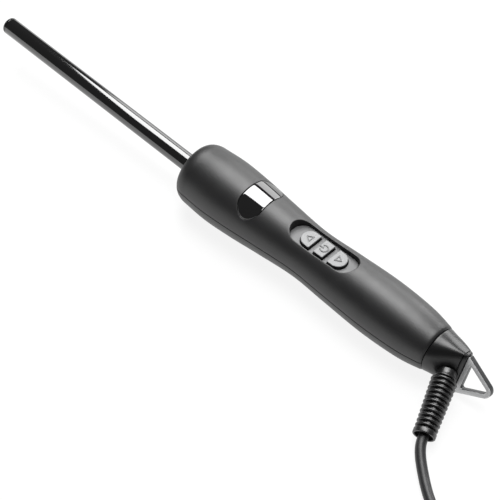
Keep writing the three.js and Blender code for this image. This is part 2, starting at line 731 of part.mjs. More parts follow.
function addSwivelContacts() {
  const { x: holderX, halfY, z } = BRUSH_HOLDER;
  add(handle, "brush_holder", block(holderX, [-halfY, halfY], z), WHITE_PLASTIC);
  const poles = [
    ["live", SLIP_RING_XS[0], 1, RED_WIRE],
    ["neutral", SLIP_RING_XS[1], -1, BLUE_WIRE],
  ];
  for (const [name, x, side, look] of poles) {
    add(handle, "brush_contact_" + name, brushContact(x), BRASS);
    const half = SLIP_RING_WIDTH / 2;
    const ring = tube(x - half, x + half, SLIP_RING_R, HUB_CARRIER_R + GAP, 20);
    add(tail, "slip_ring_" + name, ring, BRASS);
    const lead = [
      [x + 1.6, side * 5.2, 6.6],
      [x + 6, side * 6.4, 4],
      [-121, side * 6.6, 1.5],
      [-115, side * 6.4, 0.6],
      [-109, side * 6, 0.2],
    ];
    add(handle, "brush_lead_" + name, wire(lead, BRUSH_LEAD_R, 10), look);
  }
  const rear = -HANDLE_LENGTH + REAR_WALL + GAP;
  const washer = tube(rear, rear + WASHER_THICKNESS, HUB_FLANGE_R, HUB_NECK_R + GAP, 20);
  add(handle, "swivel_washer", washer, WHITE_PLASTIC);
}

// ---------------------------------------------------------------- tail
// One ring of the tail's loft: t runs from the round front, 0, to the flat end, 1.
function tailRing(t) {
  const halfZ = THREE.MathUtils.lerp(TAIL_R, TAIL_END_HALF_Z, t);
  const halfY = THREE.MathUtils.lerp(TAIL_R, TAIL_END_HALF_Y, t ** 1.12);
  const squareness = THREE.MathUtils.lerp(2, 5, t * t);
  const ring = [];
  for (let i = 0; i < TAIL_SEGMENTS; i++) {
    const angle = (2 * Math.PI * i) / TAIL_SEGMENTS;
    const [c, s] = [Math.cos(angle), Math.sin(angle)];
    const y = halfY * Math.sign(c) * Math.abs(c) ** (2 / squareness);
    const z = halfZ * Math.sign(s) * Math.abs(s) ** (2 / squareness);
    ring.push(new THREE.Vector3(TAIL_FRONT_X - TAIL_LENGTH * t, y, z));
  }
  return ring;
}

function loft(rings) {
  const corners = [];
  const count = rings[0].length;
  for (let k = 0; k + 1 < rings.length; k++)
    for (let i = 0; i < count; i++) {
      const j = (i + 1) % count;
      corners.push(rings[k][i], rings[k + 1][i], rings[k + 1][j]);
      corners.push(rings[k][i], rings[k + 1][j], rings[k][j]);
    }
  const first = rings[0];
  const last = rings[rings.length - 1];
  for (let i = 1; i + 1 < count; i++) {
    corners.push(first[0], first[i], first[i + 1]);
    corners.push(last[0], last[i + 1], last[i]);
  }
  return solid(new THREE.BufferGeometry().setFromPoints(corners));
}

// From the strain relief's own line, which is +X there, to the tail's frame.
function reliefMatrix() {
  const turn = new THREE.Quaternion().setFromUnitVectors(new THREE.Vector3(1, 0, 0), RELIEF_DIRECTION);
  const matrix = new THREE.Matrix4().makeRotationFromQuaternion(turn);
  matrix.setPosition(RELIEF_ROOT_X, 0, 0);
  return matrix;
}
const reliefPlace = reliefMatrix();
const reliefInTail = tail.matrix.clone().invert().multiply(reliefPlace);

function loopSlot(clearance) {
  const halfY = TONGUE_THICKNESS / 2 + clearance;
  const halfZ = TONGUE_HALF + clearance;
  const x = TAIL_END_X - GAP;
  return block([x, x + TONGUE_LENGTH + clearance], [-halfY, halfY], [-halfZ, halfZ]);
}

function pinAcross(radius, halfLength) {
  const x = TAIL_END_X - GAP + TONGUE_LENGTH / 2;
  const pin = new THREE.CylinderGeometry(radius, radius, 2 * halfLength, 10);
  return solid(pin.translate(x, 0, 0));
}

function tailHousing() {
  const rings = [];
  for (let k = 0; k <= TAIL_RINGS; k++) rings.push(tailRing(k / TAIL_RINGS));
  const chamber = rod(TAIL_FRONT_X - TAIL_CHAMBER_DEPTH, TAIL_FRONT_X + 1, TAIL_CHAMBER_R, 24);
  const socket = placed(rod(RELIEF_PLUG_END - GAP, 20, RELIEF_START_R + GAP, 20), reliefInTail);
  const passage = placed(rod(-3, RELIEF_PLUG_END, RELIEF_PLUG_R + GAP, 16), reliefInTail);
  return loft(rings)
    .subtract(chamber)
    .subtract(socket)
    .subtract(passage)
    .subtract(loopSlot(GAP))
    .subtract(pinAcross(LOOP_PIN_R + GAP, LOOP_PIN_HOLE_HALF));
}

// A triangle with its base on x = base, its tip at x = tip and a rounded tip, moved in by inset.
function loopOutline(base, inset, tipRadius, Kind) {
  const tip = TAIL_END_X - GAP - LOOP_LENGTH;
  const slope = LOOP_HALF / (LOOP_LENGTH + LOOP_TIP_R);
  const angle = Math.atan(slope);
  const half = (x) => slope * (x - tip + LOOP_TIP_R) - inset / Math.cos(angle);
  const centre = tip - LOOP_TIP_R + (inset + tipRadius) / Math.sin(angle);
  const shape = new Kind();
  shape.moveTo(base, -half(base));
  shape.lineTo(base, half(base));
  shape.absarc(centre, 0, tipRadius, Math.PI / 2 + angle, (3 * Math.PI) / 2 - angle);
  shape.closePath();
  return shape;
}

function hangingLoop() {
  const base = TAIL_END_X - GAP;
  const outline = loopOutline(base, 0, LOOP_TIP_R, THREE.Shape);
  outline.holes.push(loopOutline(base - LOOP_BAR, LOOP_BAR, LOOP_TIP_R - LOOP_BAR, THREE.Path));
  const settings = { depth: LOOP_THICKNESS, bevelEnabled: false, curveSegments: 10 };
  const flat = new THREE.ExtrudeGeometry(outline, settings).translate(0, 0, -LOOP_THICKNESS / 2);
  const ring = solid(flat.rotateX(Math.PI / 2).translate(0, 0, LOOP_CENTRE_Z));
  return ring.add(loopSlot(0)).subtract(pinAcross(LOOP_PIN_R + GAP, FAR));
}

function swivelHub() {
  const neckRear = TAIL_FRONT_X - HUB_NECK_REACH;
  const flangeRear = -HANDLE_LENGTH + REAR_WALL + 2 * GAP + WASHER_THICKNESS;
  const flangeFront = flangeRear + HUB_FLANGE_WIDTH;
  const profile = [
    [neckRear, HUB_BORE_R],
    [neckRear, HUB_NECK_R],
    [flangeRear, HUB_NECK_R],
    [flangeRear, HUB_FLANGE_R],
    [flangeFront, HUB_FLANGE_R],
    [flangeFront, HUB_CARRIER_R],
    [HUB_FRONT_X, HUB_CARRIER_R],
    [HUB_FRONT_X, HUB_BORE_R],
  ];
  return turned(profile, 24);
}

function strainRelief() {
  const profile = [
    [RELIEF_START, RELIEF_BORE_R],
    [RELIEF_START, RELIEF_PLUG_R],
    [RELIEF_PLUG_END, RELIEF_PLUG_R],
    [RELIEF_PLUG_END, RELIEF_START_R],
    [RELIEF_RINGS_START, RELIEF_START_R],
  ];
  for (let i = 0; i < RELIEF_RINGS; i++) {
    const x = RELIEF_RINGS_START + i * RELIEF_PITCH;
    const r = THREE.MathUtils.lerp(RELIEF_RIB_R, RELIEF_END_R, i / (RELIEF_RINGS - 1));
    profile.push([x + 0.3 * RELIEF_PITCH, r - RELIEF_GROOVE]);
    profile.push([x + 0.5 * RELIEF_PITCH, r]);
    profile.push([x + RELIEF_PITCH, r]);
  }
  profile.push([RELIEF_END - RELIEF_CHAMFER, RELIEF_END_R]);
  profile.push([RELIEF_END, RELIEF_END_R - RELIEF_CHAMFER]);
  profile.push([RELIEF_END, RELIEF_BORE_R]);
  return turned(profile, 16);
}

function addTail() {
  add(tail, "tail_housing", tailHousing(), GLOSS_BLACK);
  add(tail, "hanging_loop", hangingLoop(), LOOP_SILVER);
  add(tail, "loop_pin", pinAcross(LOOP_PIN_R, LOOP_PIN_HALF), STEEL);
  add(tail, "swivel_hub", swivelHub(), HEAT_PLASTIC);
  const { x, y, r } = CORD_LEAD;
  add(tail, "cord_lead_live", rod(...x, r, 8).translate([0, y, 0]), RED_WIRE);
  add(tail, "cord_lead_neutral", rod(...x, r, 8).translate([0, -y, 0]), BLUE_WIRE);
  add(handle, "strain_relief", placed(strainRelief(), reliefPlace), BLACK_RUBBER);
}

// ---------------------------------------------------------------- cord
function coilSection(margin) {
  const halfWidth = (COIL_COLUMNS * COIL_PITCH) / 2 + margin;
  const top = COIL_BASE_Z + COIL_LAYERS * COIL_PITCH + margin;
  return { inner: COIL_MEAN_R - halfWidth, outer: COIL_MEAN_R + halfWidth, top };
}

function coilRing() {
  const { inner, outer, top } = coilSection(0);
  const profile = [
    [inner + COIL_BEVEL, COIL_BASE_Z],
    [outer - COIL_BEVEL, COIL_BASE_Z],
    [outer, COIL_BASE_Z + COIL_BEVEL],
    [outer, top - COIL_BEVEL],
    [outer - COIL_BEVEL, top],
    [inner + COIL_BEVEL, top],
    [inner, top - COIL_BEVEL],
    [inner, COIL_BASE_Z + COIL_BEVEL],
    [inner + COIL_BEVEL, COIL_BASE_Z],
  ].map(([r, z]) => new THREE.Vector2(r, z));
  const ring = new THREE.LatheGeometry(profile, COIL_SEGMENTS).rotateX(Math.PI / 2);
  return solid(ring.translate(...COIL_CENTRE, 0));
}

// A rectangle's outline, as a shape or a path.
function rectangle([x0, x1], [y0, y1], Kind) {
  const outline = new Kind();
  outline.moveTo(x0, y0);
  outline.lineTo(x1, y0);
  outline.lineTo(x1, y1);
  outline.lineTo(x0, y1);
  outline.closePath();
  return outline;
}

function cordTie() {
  const { inner, outer, top } = coilSection(GAP);
  const [near, far] = [inner - TIE_SAG, outer];
  const floor = TIE_FLOOR_Z + TIE_THICKNESS;
  const shape = rectangle(
    [near - TIE_THICKNESS, far + TIE_THICKNESS],
    [TIE_FLOOR_Z, top + TIE_THICKNESS],
    THREE.Shape,
  );
  shape.holes.push(rectangle([near, far], [floor, top], THREE.Path));
  const band = new THREE.ExtrudeGeometry(shape, { depth: TIE_WIDTH, bevelEnabled: false });
  band.translate(0, 0, -TIE_WIDTH / 2).rotateX(Math.PI / 2).rotateZ(TIE_ANGLE);
  return solid(band.translate(...COIL_CENTRE, 0));
}

// The plug seen from above, from its cord end at x = 0 to its face.
function plugOutline() {
  const [neck, wide] = [PLUG_NECK_HALF_WIDTH, PLUG_HALF_WIDTH];
  const [bend, swell] = [0.4 * PLUG_SHOULDER, 0.6 * PLUG_SHOULDER];
  const shape = new THREE.Shape();
  shape.moveTo(0, -neck);
  shape.bezierCurveTo(bend, -neck, swell, -wide, PLUG_SHOULDER, -wide);
  shape.lineTo(PLUG_LENGTH, -wide);
  shape.lineTo(PLUG_LENGTH, wide);
  shape.lineTo(PLUG_SHOULDER, wide);
  shape.bezierCurveTo(swell, wide, bend, neck, 0, neck);
  shape.closePath();
  return shape;
}

function addPlug() {
  const plug = new THREE.Group();
  plug.position.set(...PLUG_POINT, 0);
  plug.rotation.z = PLUG_HEADING;
  wand.add(plug);
  const middle = PLUG_HEIGHT / 2;
  const bodyStart = PLUG_RELIEF_LENGTH + GAP;
  const face = bodyStart + PLUG_LENGTH;
  const relief = turned(
    [
      [0, 0],
      [0, PLUG_RELIEF_START_R],
      [PLUG_RELIEF_LENGTH, PLUG_RELIEF_END_R],
      [PLUG_RELIEF_LENGTH, 0],
    ],
    16,
  );
  add(plug, "plug_strain_relief", relief.translate([0, 0, middle]), BLACK_RUBBER);
  const sides = [
    ["plug_pin_live", PIN_SPACING / 2],
    ["plug_pin_neutral", -PIN_SPACING / 2],
  ];
  let body = prism(plugOutline(), 0, PLUG_HEIGHT, 6).translate([bodyStart, 0, 0]);
  for (const [name, y] of sides) {
    const socket = rod(face - PIN_BURIED - GAP, face + 1, PIN_R + GAP, 12);
    body = body.subtract(socket.translate([0, y, middle]));
    const pin = rod(face - PIN_BURIED, face + PIN_EXPOSED, PIN_R, 12);
    add(plug, name, pin.translate([0, y, middle]), STEEL);
  }
  add(plug, "plug_body", body, BLACK_RUBBER);
}

function addCord() {
  add(wand, "power_cord", wire(CORD_ROUTE, CORD_R, CORD_STEPS, CORD_SIDES), CORD_BLACK);
  add(wand, "cord_coil", coilRing(), CORD_BLACK);
  add(wand, "cord_tie", cordTie(), BLACK_RUBBER);
  add(wand, "plug_lead", wire(PLUG_LEAD_ROUTE, CORD_R, PLUG_LEAD_STEPS, CORD_SIDES), CORD_BLACK);
  addPlug();
}

addShells();
addDisplay();
addButtons();
addElectronics();
addBarrel();
addHandleWiring();
addSwivelContacts();
addTail();
addCord();

export default wand;
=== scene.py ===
import json
import math
from bisect import bisect_right

import bmesh
import bpy
from mathutils import Matrix, Vector, geometry


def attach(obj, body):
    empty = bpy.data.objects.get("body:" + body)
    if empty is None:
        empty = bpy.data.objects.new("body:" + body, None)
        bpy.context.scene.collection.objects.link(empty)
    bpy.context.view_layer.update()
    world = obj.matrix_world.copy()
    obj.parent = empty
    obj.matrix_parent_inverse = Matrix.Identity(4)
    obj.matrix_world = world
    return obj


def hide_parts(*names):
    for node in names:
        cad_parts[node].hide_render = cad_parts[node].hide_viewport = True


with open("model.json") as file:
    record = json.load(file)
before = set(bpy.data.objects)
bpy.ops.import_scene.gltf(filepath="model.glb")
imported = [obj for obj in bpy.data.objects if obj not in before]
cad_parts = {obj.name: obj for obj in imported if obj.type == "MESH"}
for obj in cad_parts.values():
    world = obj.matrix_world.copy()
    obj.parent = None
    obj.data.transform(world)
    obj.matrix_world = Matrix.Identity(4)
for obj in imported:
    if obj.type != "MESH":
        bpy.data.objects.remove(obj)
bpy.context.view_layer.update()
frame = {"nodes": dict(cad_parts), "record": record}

# A slim clipless curling wand. Shapes are worked out in millimetres, in the frames of the CAD model:
# the handle's own frame has x forwards along its centre line from the front face and z to the buttons.
MM = 0.001
GAP = 0.3
TAU = 2 * math.pi

# ---------------------------------------- driving dimensions
HANDLE_FRONT = (21.07, 0.0, 16.7)
HANDLE_TILT = math.radians(1.28)
HANDLE_LENGTH = 150.0
SHELL_WALL = 2.2
FRONT_WALL = 3.2
REAR_WALL = 3.0
FRONT_HOLE_R = 7.3
REAR_HOLE_R = 6.2
FRONT_EDGE_LENGTH = 7.0
FRONT_EDGE_HEIGHT = 3.5
BULGE_START_R = 16.3
REAR_EDGE_R = 10.85
HANDLE_PROFILE = [
    (-FRONT_EDGE_LENGTH, BULGE_START_R),
    (-20.0, 16.95),
    (-36.0, 16.1),
    (-53.0, 14.5),
    (-74.0, 12.9),
    (-94.0, 13.7),
    (-117.0, 14.5),
    (-137.0, 13.6),
    (1.0 - HANDLE_LENGTH, 11.5),
]
SHELL_SCREWS = [(-26.0, 9.2), (-26.0, -9.2), (-118.5, 0.0)]
COUNTERBORE_R = 2.4
COUNTERBORE_LIP = 0.2

WINDOW = {"x": -42.0, "half_x": 6.5, "half_y": 12.6}
WINDOW_THICKNESS = 1.3
WINDOW_LIP = 0.3
WINDOW_MARGIN = -0.12  # the lens is this much smaller than its seat
WINDOW_EDGE = 0.4
SLOT = {"x": -82.2, "half_x": 19.2, "half_y": 6.4}
SLOT_LIP = 0.35
SLOT_RIM = 1.2
SLOT_RIM_BOTTOM_Z = 7.0
BEZEL_TOP_Z = 9.1
BEZEL_FLANGE_Z = 5.6
BUTTON_TOP_Z = 10.9
BUTTON_SKIRT_Z = 4.2
BUTTON_HALF_Y = 4.6
BUTTON_SPACING = 2.85
BUTTON_END_LENGTH = 7.35
BUTTON_MIDDLE_LENGTH = 5.5
MARK_DEPTH = 0.2
MARK_HEIGHT = 0.3
TRIANGLE_MARK = {"half": 2.1, "length": 3.3, "line": 0.42}
POWER_MARK = {"outer": 2.2, "inner": 1.6, "opening": math.radians(38), "bar": (0.3, 2.5)}

BARREL_TILT = math.radians(1.3)
BARREL_R = 4.5
BARREL_BORE_R = 3.95
BARREL_EXPOSED = 139.2
BARREL_TAIL = -14.0
CAP_LENGTH = 1.9
CAP_EDGE_R = 1.4
CAP_PLUG_R = 3.6
CAP_PLUG_LENGTH = 6.0
COLLAR_R = 7.0
COLLAR_PROUD = 1.3
COLLAR_SHOULDER = 0.7  # behind the front wall
COLLAR_CHAMFER = 0.8
COLLAR_FLANGE_R = 9.5
COLLAR_REAR_X = -6.4
COLLAR_BORE_R = BARREL_R + GAP
BARREL_SEGMENTS = 128
COLLAR_SEGMENTS = 96

TAIL_TURN = math.radians(22)
TAIL_FRONT_X = -HANDLE_LENGTH - 0.4
TAIL_LENGTH = 14.9
TAIL_END_X = TAIL_FRONT_X - TAIL_LENGTH
TAIL_R = 11.0
TAIL_END_HALF_Z = 8.5
TAIL_END_HALF_Y = 2.75
TAIL_PINCH = 1.12  # how the tail's width shrinks towards its end
TAIL_GROOVE = {"at": TAIL_LENGTH - 1.5, "width": 0.6, "depth": 0.45}
TAIL_SEGMENTS = 96
TAIL_CHAMBER_R = 6.2
TAIL_CHAMBER_DEPTH = 5.0
LOOP_LENGTH = 16.6
LOOP_HALF = 10.2
LOOP_CENTRE_Z = -2.1
LOOP_BAR = 2.2
LOOP_THICKNESS = 3.0
LOOP_TIP_R = 3.6
TONGUE_HALF = 4.6
TONGUE_THICKNESS = 2.2
TONGUE_LENGTH = 3.2
LOOP_PIN_R = 0.8
LOOP_PIN_HOLE_HALF = 2.9

RELIEF_ROOT = (-158.5, 0.0, 0.0)
RELIEF_DIRECTION = Vector((-0.368, 0.907, -0.202)).normalized()
RELIEF_START = 3.6
RELIEF_PLUG_END = 5.6
RELIEF_RINGS_START = 9.5
RELIEF_RINGS = 11
RELIEF_PITCH = 2.27
RELIEF_END = 37.8
RELIEF_PLUG_R = 2.7
RELIEF_START_R = 4.35
RELIEF_RIB_R = 5.95
RELIEF_END_R = 5.2
RELIEF_ROOM = 0.2  # between the relief and the tail round it
RELIEF_MOUTH_WALL = 0.9
RELIEF_MOUTH_DEPTH = 3.2
RELIEF_SEGMENTS = 72
RIB_HEIGHT = 1.5
RIB_SHARE = 0.6  # of the pitch
RIB_ROUNDNESS = 2.6  # 2 would be an arc
RELIEF_FLARE_START = 8.0
RELIEF_FLARE_R = 5.0
FIRST_GROOVE = 1.4

# ---------------------------------------- the cord's route
CORD_R = 2.4
# Distances along the strain relief's line at which the cord's hidden start is placed.
CORD_IN_RELIEF = [12.0, 20.0, 28.0, 34.0]
CORD_ROUTE = [
    (-151.3, 34.7, 5.12),
    (-152.4, 37.2, 4.8),
    (-153.9, 39.5, 4.4),
    (-156.1, 42.0, 3.8),
    (-159.4, 45.0, 3.1),
    (-163.0, 48.0, 2.6),
    (-167.1, 51.3, 2.5),
    (-171.9, 54.7, 2.5),
    (-181.0, 59.7, 2.6),
    (-190.9, 62.8, 2.8),
    (-200.4, 63.7, 3.0),
    (-210.8, 63.7, 3.2),
    (-221.1, 63.7, 3.4),
]
COIL_CENTRE = (-241.0, 25.0)
COIL_MEAN_R = 29.0
COIL_COLUMNS = 5
COIL_LAYERS = 2
COIL_PITCH = 4.85
COIL_BASE_Z = 0.95
COIL_ENTRY = math.radians(90)
COIL_LEAVING = math.radians(125)
COIL_INNER_TURN = 0.66
COIL_POINTS_PER_TURN = 24
TIE_THICKNESS = 0.6
TIE_WIDTH = 11.0
TIE_ANGLE = math.radians(280)
TIE_FLOOR_Z = 0.05
TIE_ROOM = 0.1
TIE_SAG = 0.6
PLUG_LEAD_ROUTE = [
    (-279.4, 45.35, 7.0),
    (-281.1, 44.15, 6.9),
    (-282.75, 43.0, 6.85),
]
PLUG_POINT = (-283.1, 42.75)
PLUG_HEADING = math.radians(215)
PLUG_HEIGHT = 13.7
PLUG_RELIEF_LENGTH = 12.0
PLUG_RELIEF_START_R = 3.1
PLUG_RELIEF_END_R = 4.4
PLUG_LENGTH = 36.0
PLUG_HALF_WIDTH = 17.5
PLUG_NECK_HALF_WIDTH = 7.0
PLUG_SHOULDER = 15.0
PIN_R = 2.0
PIN_SPACING = 18.6
PIN_EXPOSED = 19.0
PIN_BURIED = 8.0
PLUG_SEGMENTS = 48

# ---------------------------------------- frames
HANDLE = Matrix.Translation(HANDLE_FRONT) @ Matrix.Rotation(-HANDLE_TILT, 4, "Y")
BARREL = HANDLE @ Matrix.Rotation(-BARREL_TILT, 4, "Y")
TAIL = HANDLE @ Matrix.Rotation(TAIL_TURN, 4, "X")
RELIEF_TURN = Vector((1, 0, 0)).rotation_difference(RELIEF_DIRECTION).to_matrix().to_4x4()
RELIEF = HANDLE @ Matrix.Translation(RELIEF_ROOT) @ RELIEF_TURN
PLUG = Matrix.Translation((*PLUG_POINT, 0)) @ Matrix.Rotation(PLUG_HEADING, 4, "Z")
COIL_TIE = (
    Matrix.Translation((*COIL_CENTRE, 0))
    @ Matrix.Rotation(TIE_ANGLE, 4, "Z")
    @ Matrix.Rotation(math.pi / 2, 4, "X")
)

ON_HANDLE = "handle"
ON_TAIL = "swivel_tail"

# ---------------------------------------- camera, lights and floor
CAMERA_TARGET = Vector((-0.0226, 0.0083, 0.0))
CAMERA_DISTANCE = 0.732
CAMERA_AZIMUTH = math.radians(224.37)
CAMERA_ELEVATION = math.radians(49.5)
CAMERA_LENS = 111.5
CLIP_START = 0.01
SOFTBOX_DISTANCE = 1.2
# name, direction from the wand, length and height, power, and turn in its own plane
SOFTBOXES = [
    ("key_softbox", (0.34, -0.33, 0.875), (0.7, 0.92), 14.5, math.radians(14)),
    ("side_softbox", (0.3, -0.88, 0.35), (0.75, 0.6), 3.6, 0),
    ("top_softbox", (-0.15, -0.1, 0.98), (0.5, 0.7), 8, 0),
    ("rear_side_softbox", (-0.05, -0.9, 0.42), (0.5, 0.6), 4, 0),
]
WORLD_STRENGTH = 0.08
FLOOR_HALF = 6.0
FLOOR_GREY = 0.09
FLOOR_GLOW = 0.88
WHITE = (1, 1, 1, 1)


def new_object(name, data):
    obj = bpy.data.objects.new(name, data)
    bpy.context.collection.objects.link(obj)
    return obj


def add_camera():
    """The camera looks down on the wand from its tail's side."""
    data = bpy.data.cameras.new("camera")
    data.lens = CAMERA_LENS
    data.clip_start = CLIP_START
    camera = new_object("camera", data)
    back = Vector(
        (
            math.sin(CAMERA_AZIMUTH) * math.cos(CAMERA_ELEVATION),
            -math.cos(CAMERA_AZIMUTH) * math.cos(CAMERA_ELEVATION),
            math.sin(CAMERA_ELEVATION),
        )
    )
    camera.location = CAMERA_TARGET + back * CAMERA_DISTANCE
    camera.rotation_euler = back.to_track_quat("Z", "Y").to_euler()
    bpy.context.scene.camera = camera


def add_softbox(name, direction, size, power, turn):
    """A rectangular light that faces the wand, with its length along the wand before its turn."""
    data = bpy.data.lights.new(name, "AREA")
    data.shape = "RECTANGLE"
    data.size, data.size_y = size
    data.energy = power
    light = new_object(name, data)
    away = Vector(direction).normalized()
    along = Vector((1, 0, 0))
    along = (along - away * along.dot(away)).normalized()
    axes = Matrix((along, away.cross(along), away)).transposed() @ Matrix.Rotation(turn, 3, "Z")
    light.matrix_world = Matrix.Translation(away * SOFTBOX_DISTANCE) @ axes.to_4x4()
    light.visible_camera = False


def add_floor():
    """White paper, lit so that it comes out white, with only a faint shadow."""
    half = FLOOR_HALF
    corners = [(-half, -half, 0), (half, -half, 0), (half, half, 0), (-half, half, 0)]
    mesh = bpy.data.meshes.new("floor")
    mesh.from_pydata(corners, [], [(0, 1, 2, 3)])
    floor = new_object("floor", mesh)
    paper = surface("floor_paper", (FLOOR_GREY,) * 3, 0.8, grain=0.8, bump=0.02)
    shader = paper.node_tree.nodes["Principled BSDF"]
    shader.inputs["Emission Color"].default_value = WHITE
    shader.inputs["Emission Strength"].default_value = FLOOR_GLOW
    mesh.materials.append(paper)


def add_studio():
    add_floor()
    for name, direction, size, power, turn in SOFTBOXES:
        add_softbox(name, direction, size, power, turn)
    world = bpy.data.worlds.new("studio")
    world.use_nodes = True
    background = world.node_tree.nodes["Background"]
    background.inputs["Color"].default_value = WHITE
    background.inputs["Strength"].default_value = WORLD_STRENGTH
    bpy.context.scene.world = world
    bpy.context.scene.view_settings.view_transform = "Standard"


# ---------------------------------------- materials
PATCH_SIZE = 7.0
GRAIN_HEIGHT = 0.1
SMOOTHEST = 0.02
THREAD = 0.45
BRUSHING = (0.12, 1, 1)


def surface(
    name, colour, roughness, metallic=0.0, grain=0.4, bump=0.1, mottle=0.06, spread=0.05, index=1.5
):
    """A plastic, rubber, metal or ceramic surface; grain is its texture's size in millimetres.

    The colour varies by mottle, and the roughness by spread, over patches of a few millimetres.
    """
    made = bpy.data.materials.new(name)
    made.use_nodes = True
    nodes, link = made.node_tree.nodes, made.node_tree.links.new
    shader = nodes["Principled BSDF"]
    shader.inputs["Metallic"].default_value = metallic
    shader.inputs["IOR"].default_value = index
    place = nodes.new("ShaderNodeTexCoord").outputs["Object"]

    patches = nodes.new("ShaderNodeTexNoise")
    patches.inputs["Scale"].default_value = 1 / (PATCH_SIZE * MM)
    patches.inputs["Detail"].default_value = 4
    link(place, patches.inputs["Vector"])
    tint = nodes.new("ShaderNodeMix")
    tint.data_type = "RGBA"
    tint.inputs["A"].default_value = (*[c * (1 - mottle) for c in colour], 1)
    tint.inputs["B"].default_value = (*[min(1, c * (1 + mottle)) for c in colour], 1)
    link(patches.outputs["Fac"], tint.inputs["Factor"])
    link(tint.outputs["Result"], shader.inputs["Base Color"])
    gloss = nodes.new("ShaderNodeMapRange")
    gloss.inputs["To Min"].default_value = max(SMOOTHEST, roughness - spread)
    gloss.inputs["To Max"].default_value = roughness + spread
    link(patches.outputs["Fac"], gloss.inputs["Value"])
    link(gloss.outputs["Result"], shader.inputs["Roughness"])

    grains = nodes.new("ShaderNodeTexNoise")
    grains.inputs["Scale"].default_value = 1 / (grain * MM)
    grains.inputs["Detail"].default_value = 3
    link(place, grains.inputs["Vector"])
    relief = nodes.new("ShaderNodeBump")
    relief.inputs["Strength"].default_value = bump
    relief.inputs["Distance"].default_value = GRAIN_HEIGHT * MM
    link(grains.outputs["Fac"], relief.inputs["Height"])
    link(relief.outputs["Normal"], shader.inputs["Normal"])
    return made


def brushed(material):
    """The grain drawn out along x."""
    nodes, link = material.node_tree.nodes, material.node_tree.links.new
    place = nodes["Texture Coordinate"].outputs["Object"]
    mapping = nodes.new("ShaderNodeMapping")
    mapping.inputs["Scale"].default_value = BRUSHING
    link(place, mapping.inputs["Vector"])
    link(mapping.outputs["Vector"], nodes["Noise Texture.001"].inputs["Vector"])
    return material


def woven(material):
    """A weave of two crossing waves, THREAD millimetres apart, in place of the grain."""
    nodes, link = material.node_tree.nodes, material.node_tree.links.new
    place = nodes["Texture Coordinate"].outputs["Object"]
    heights = []
    for direction in ("X", "Z"):
        wave = nodes.new("ShaderNodeTexWave")
        wave.bands_direction = direction
        wave.inputs["Scale"].default_value = 1 / (THREAD * MM) / TAU
        wave.inputs["Distortion"].default_value = 0.6
        link(place, wave.inputs["Vector"])
        heights.append(wave.outputs["Fac"])
    crossing = nodes.new("ShaderNodeMath")
    crossing.operation = "MAXIMUM"
    link(heights[0], crossing.inputs[0])
    link(heights[1], crossing.inputs[1])
    link(crossing.outputs["Value"], nodes["Bump"].inputs["Height"])
    return material


def clear_glass():
    made = surface("fuse_glass", (0.9, 0.95, 0.95), 0.08, grain=2.0, bump=0.02)
    made.node_tree.nodes["Principled BSDF"].inputs["Transmission Weight"].default_value = 0.9
    return made


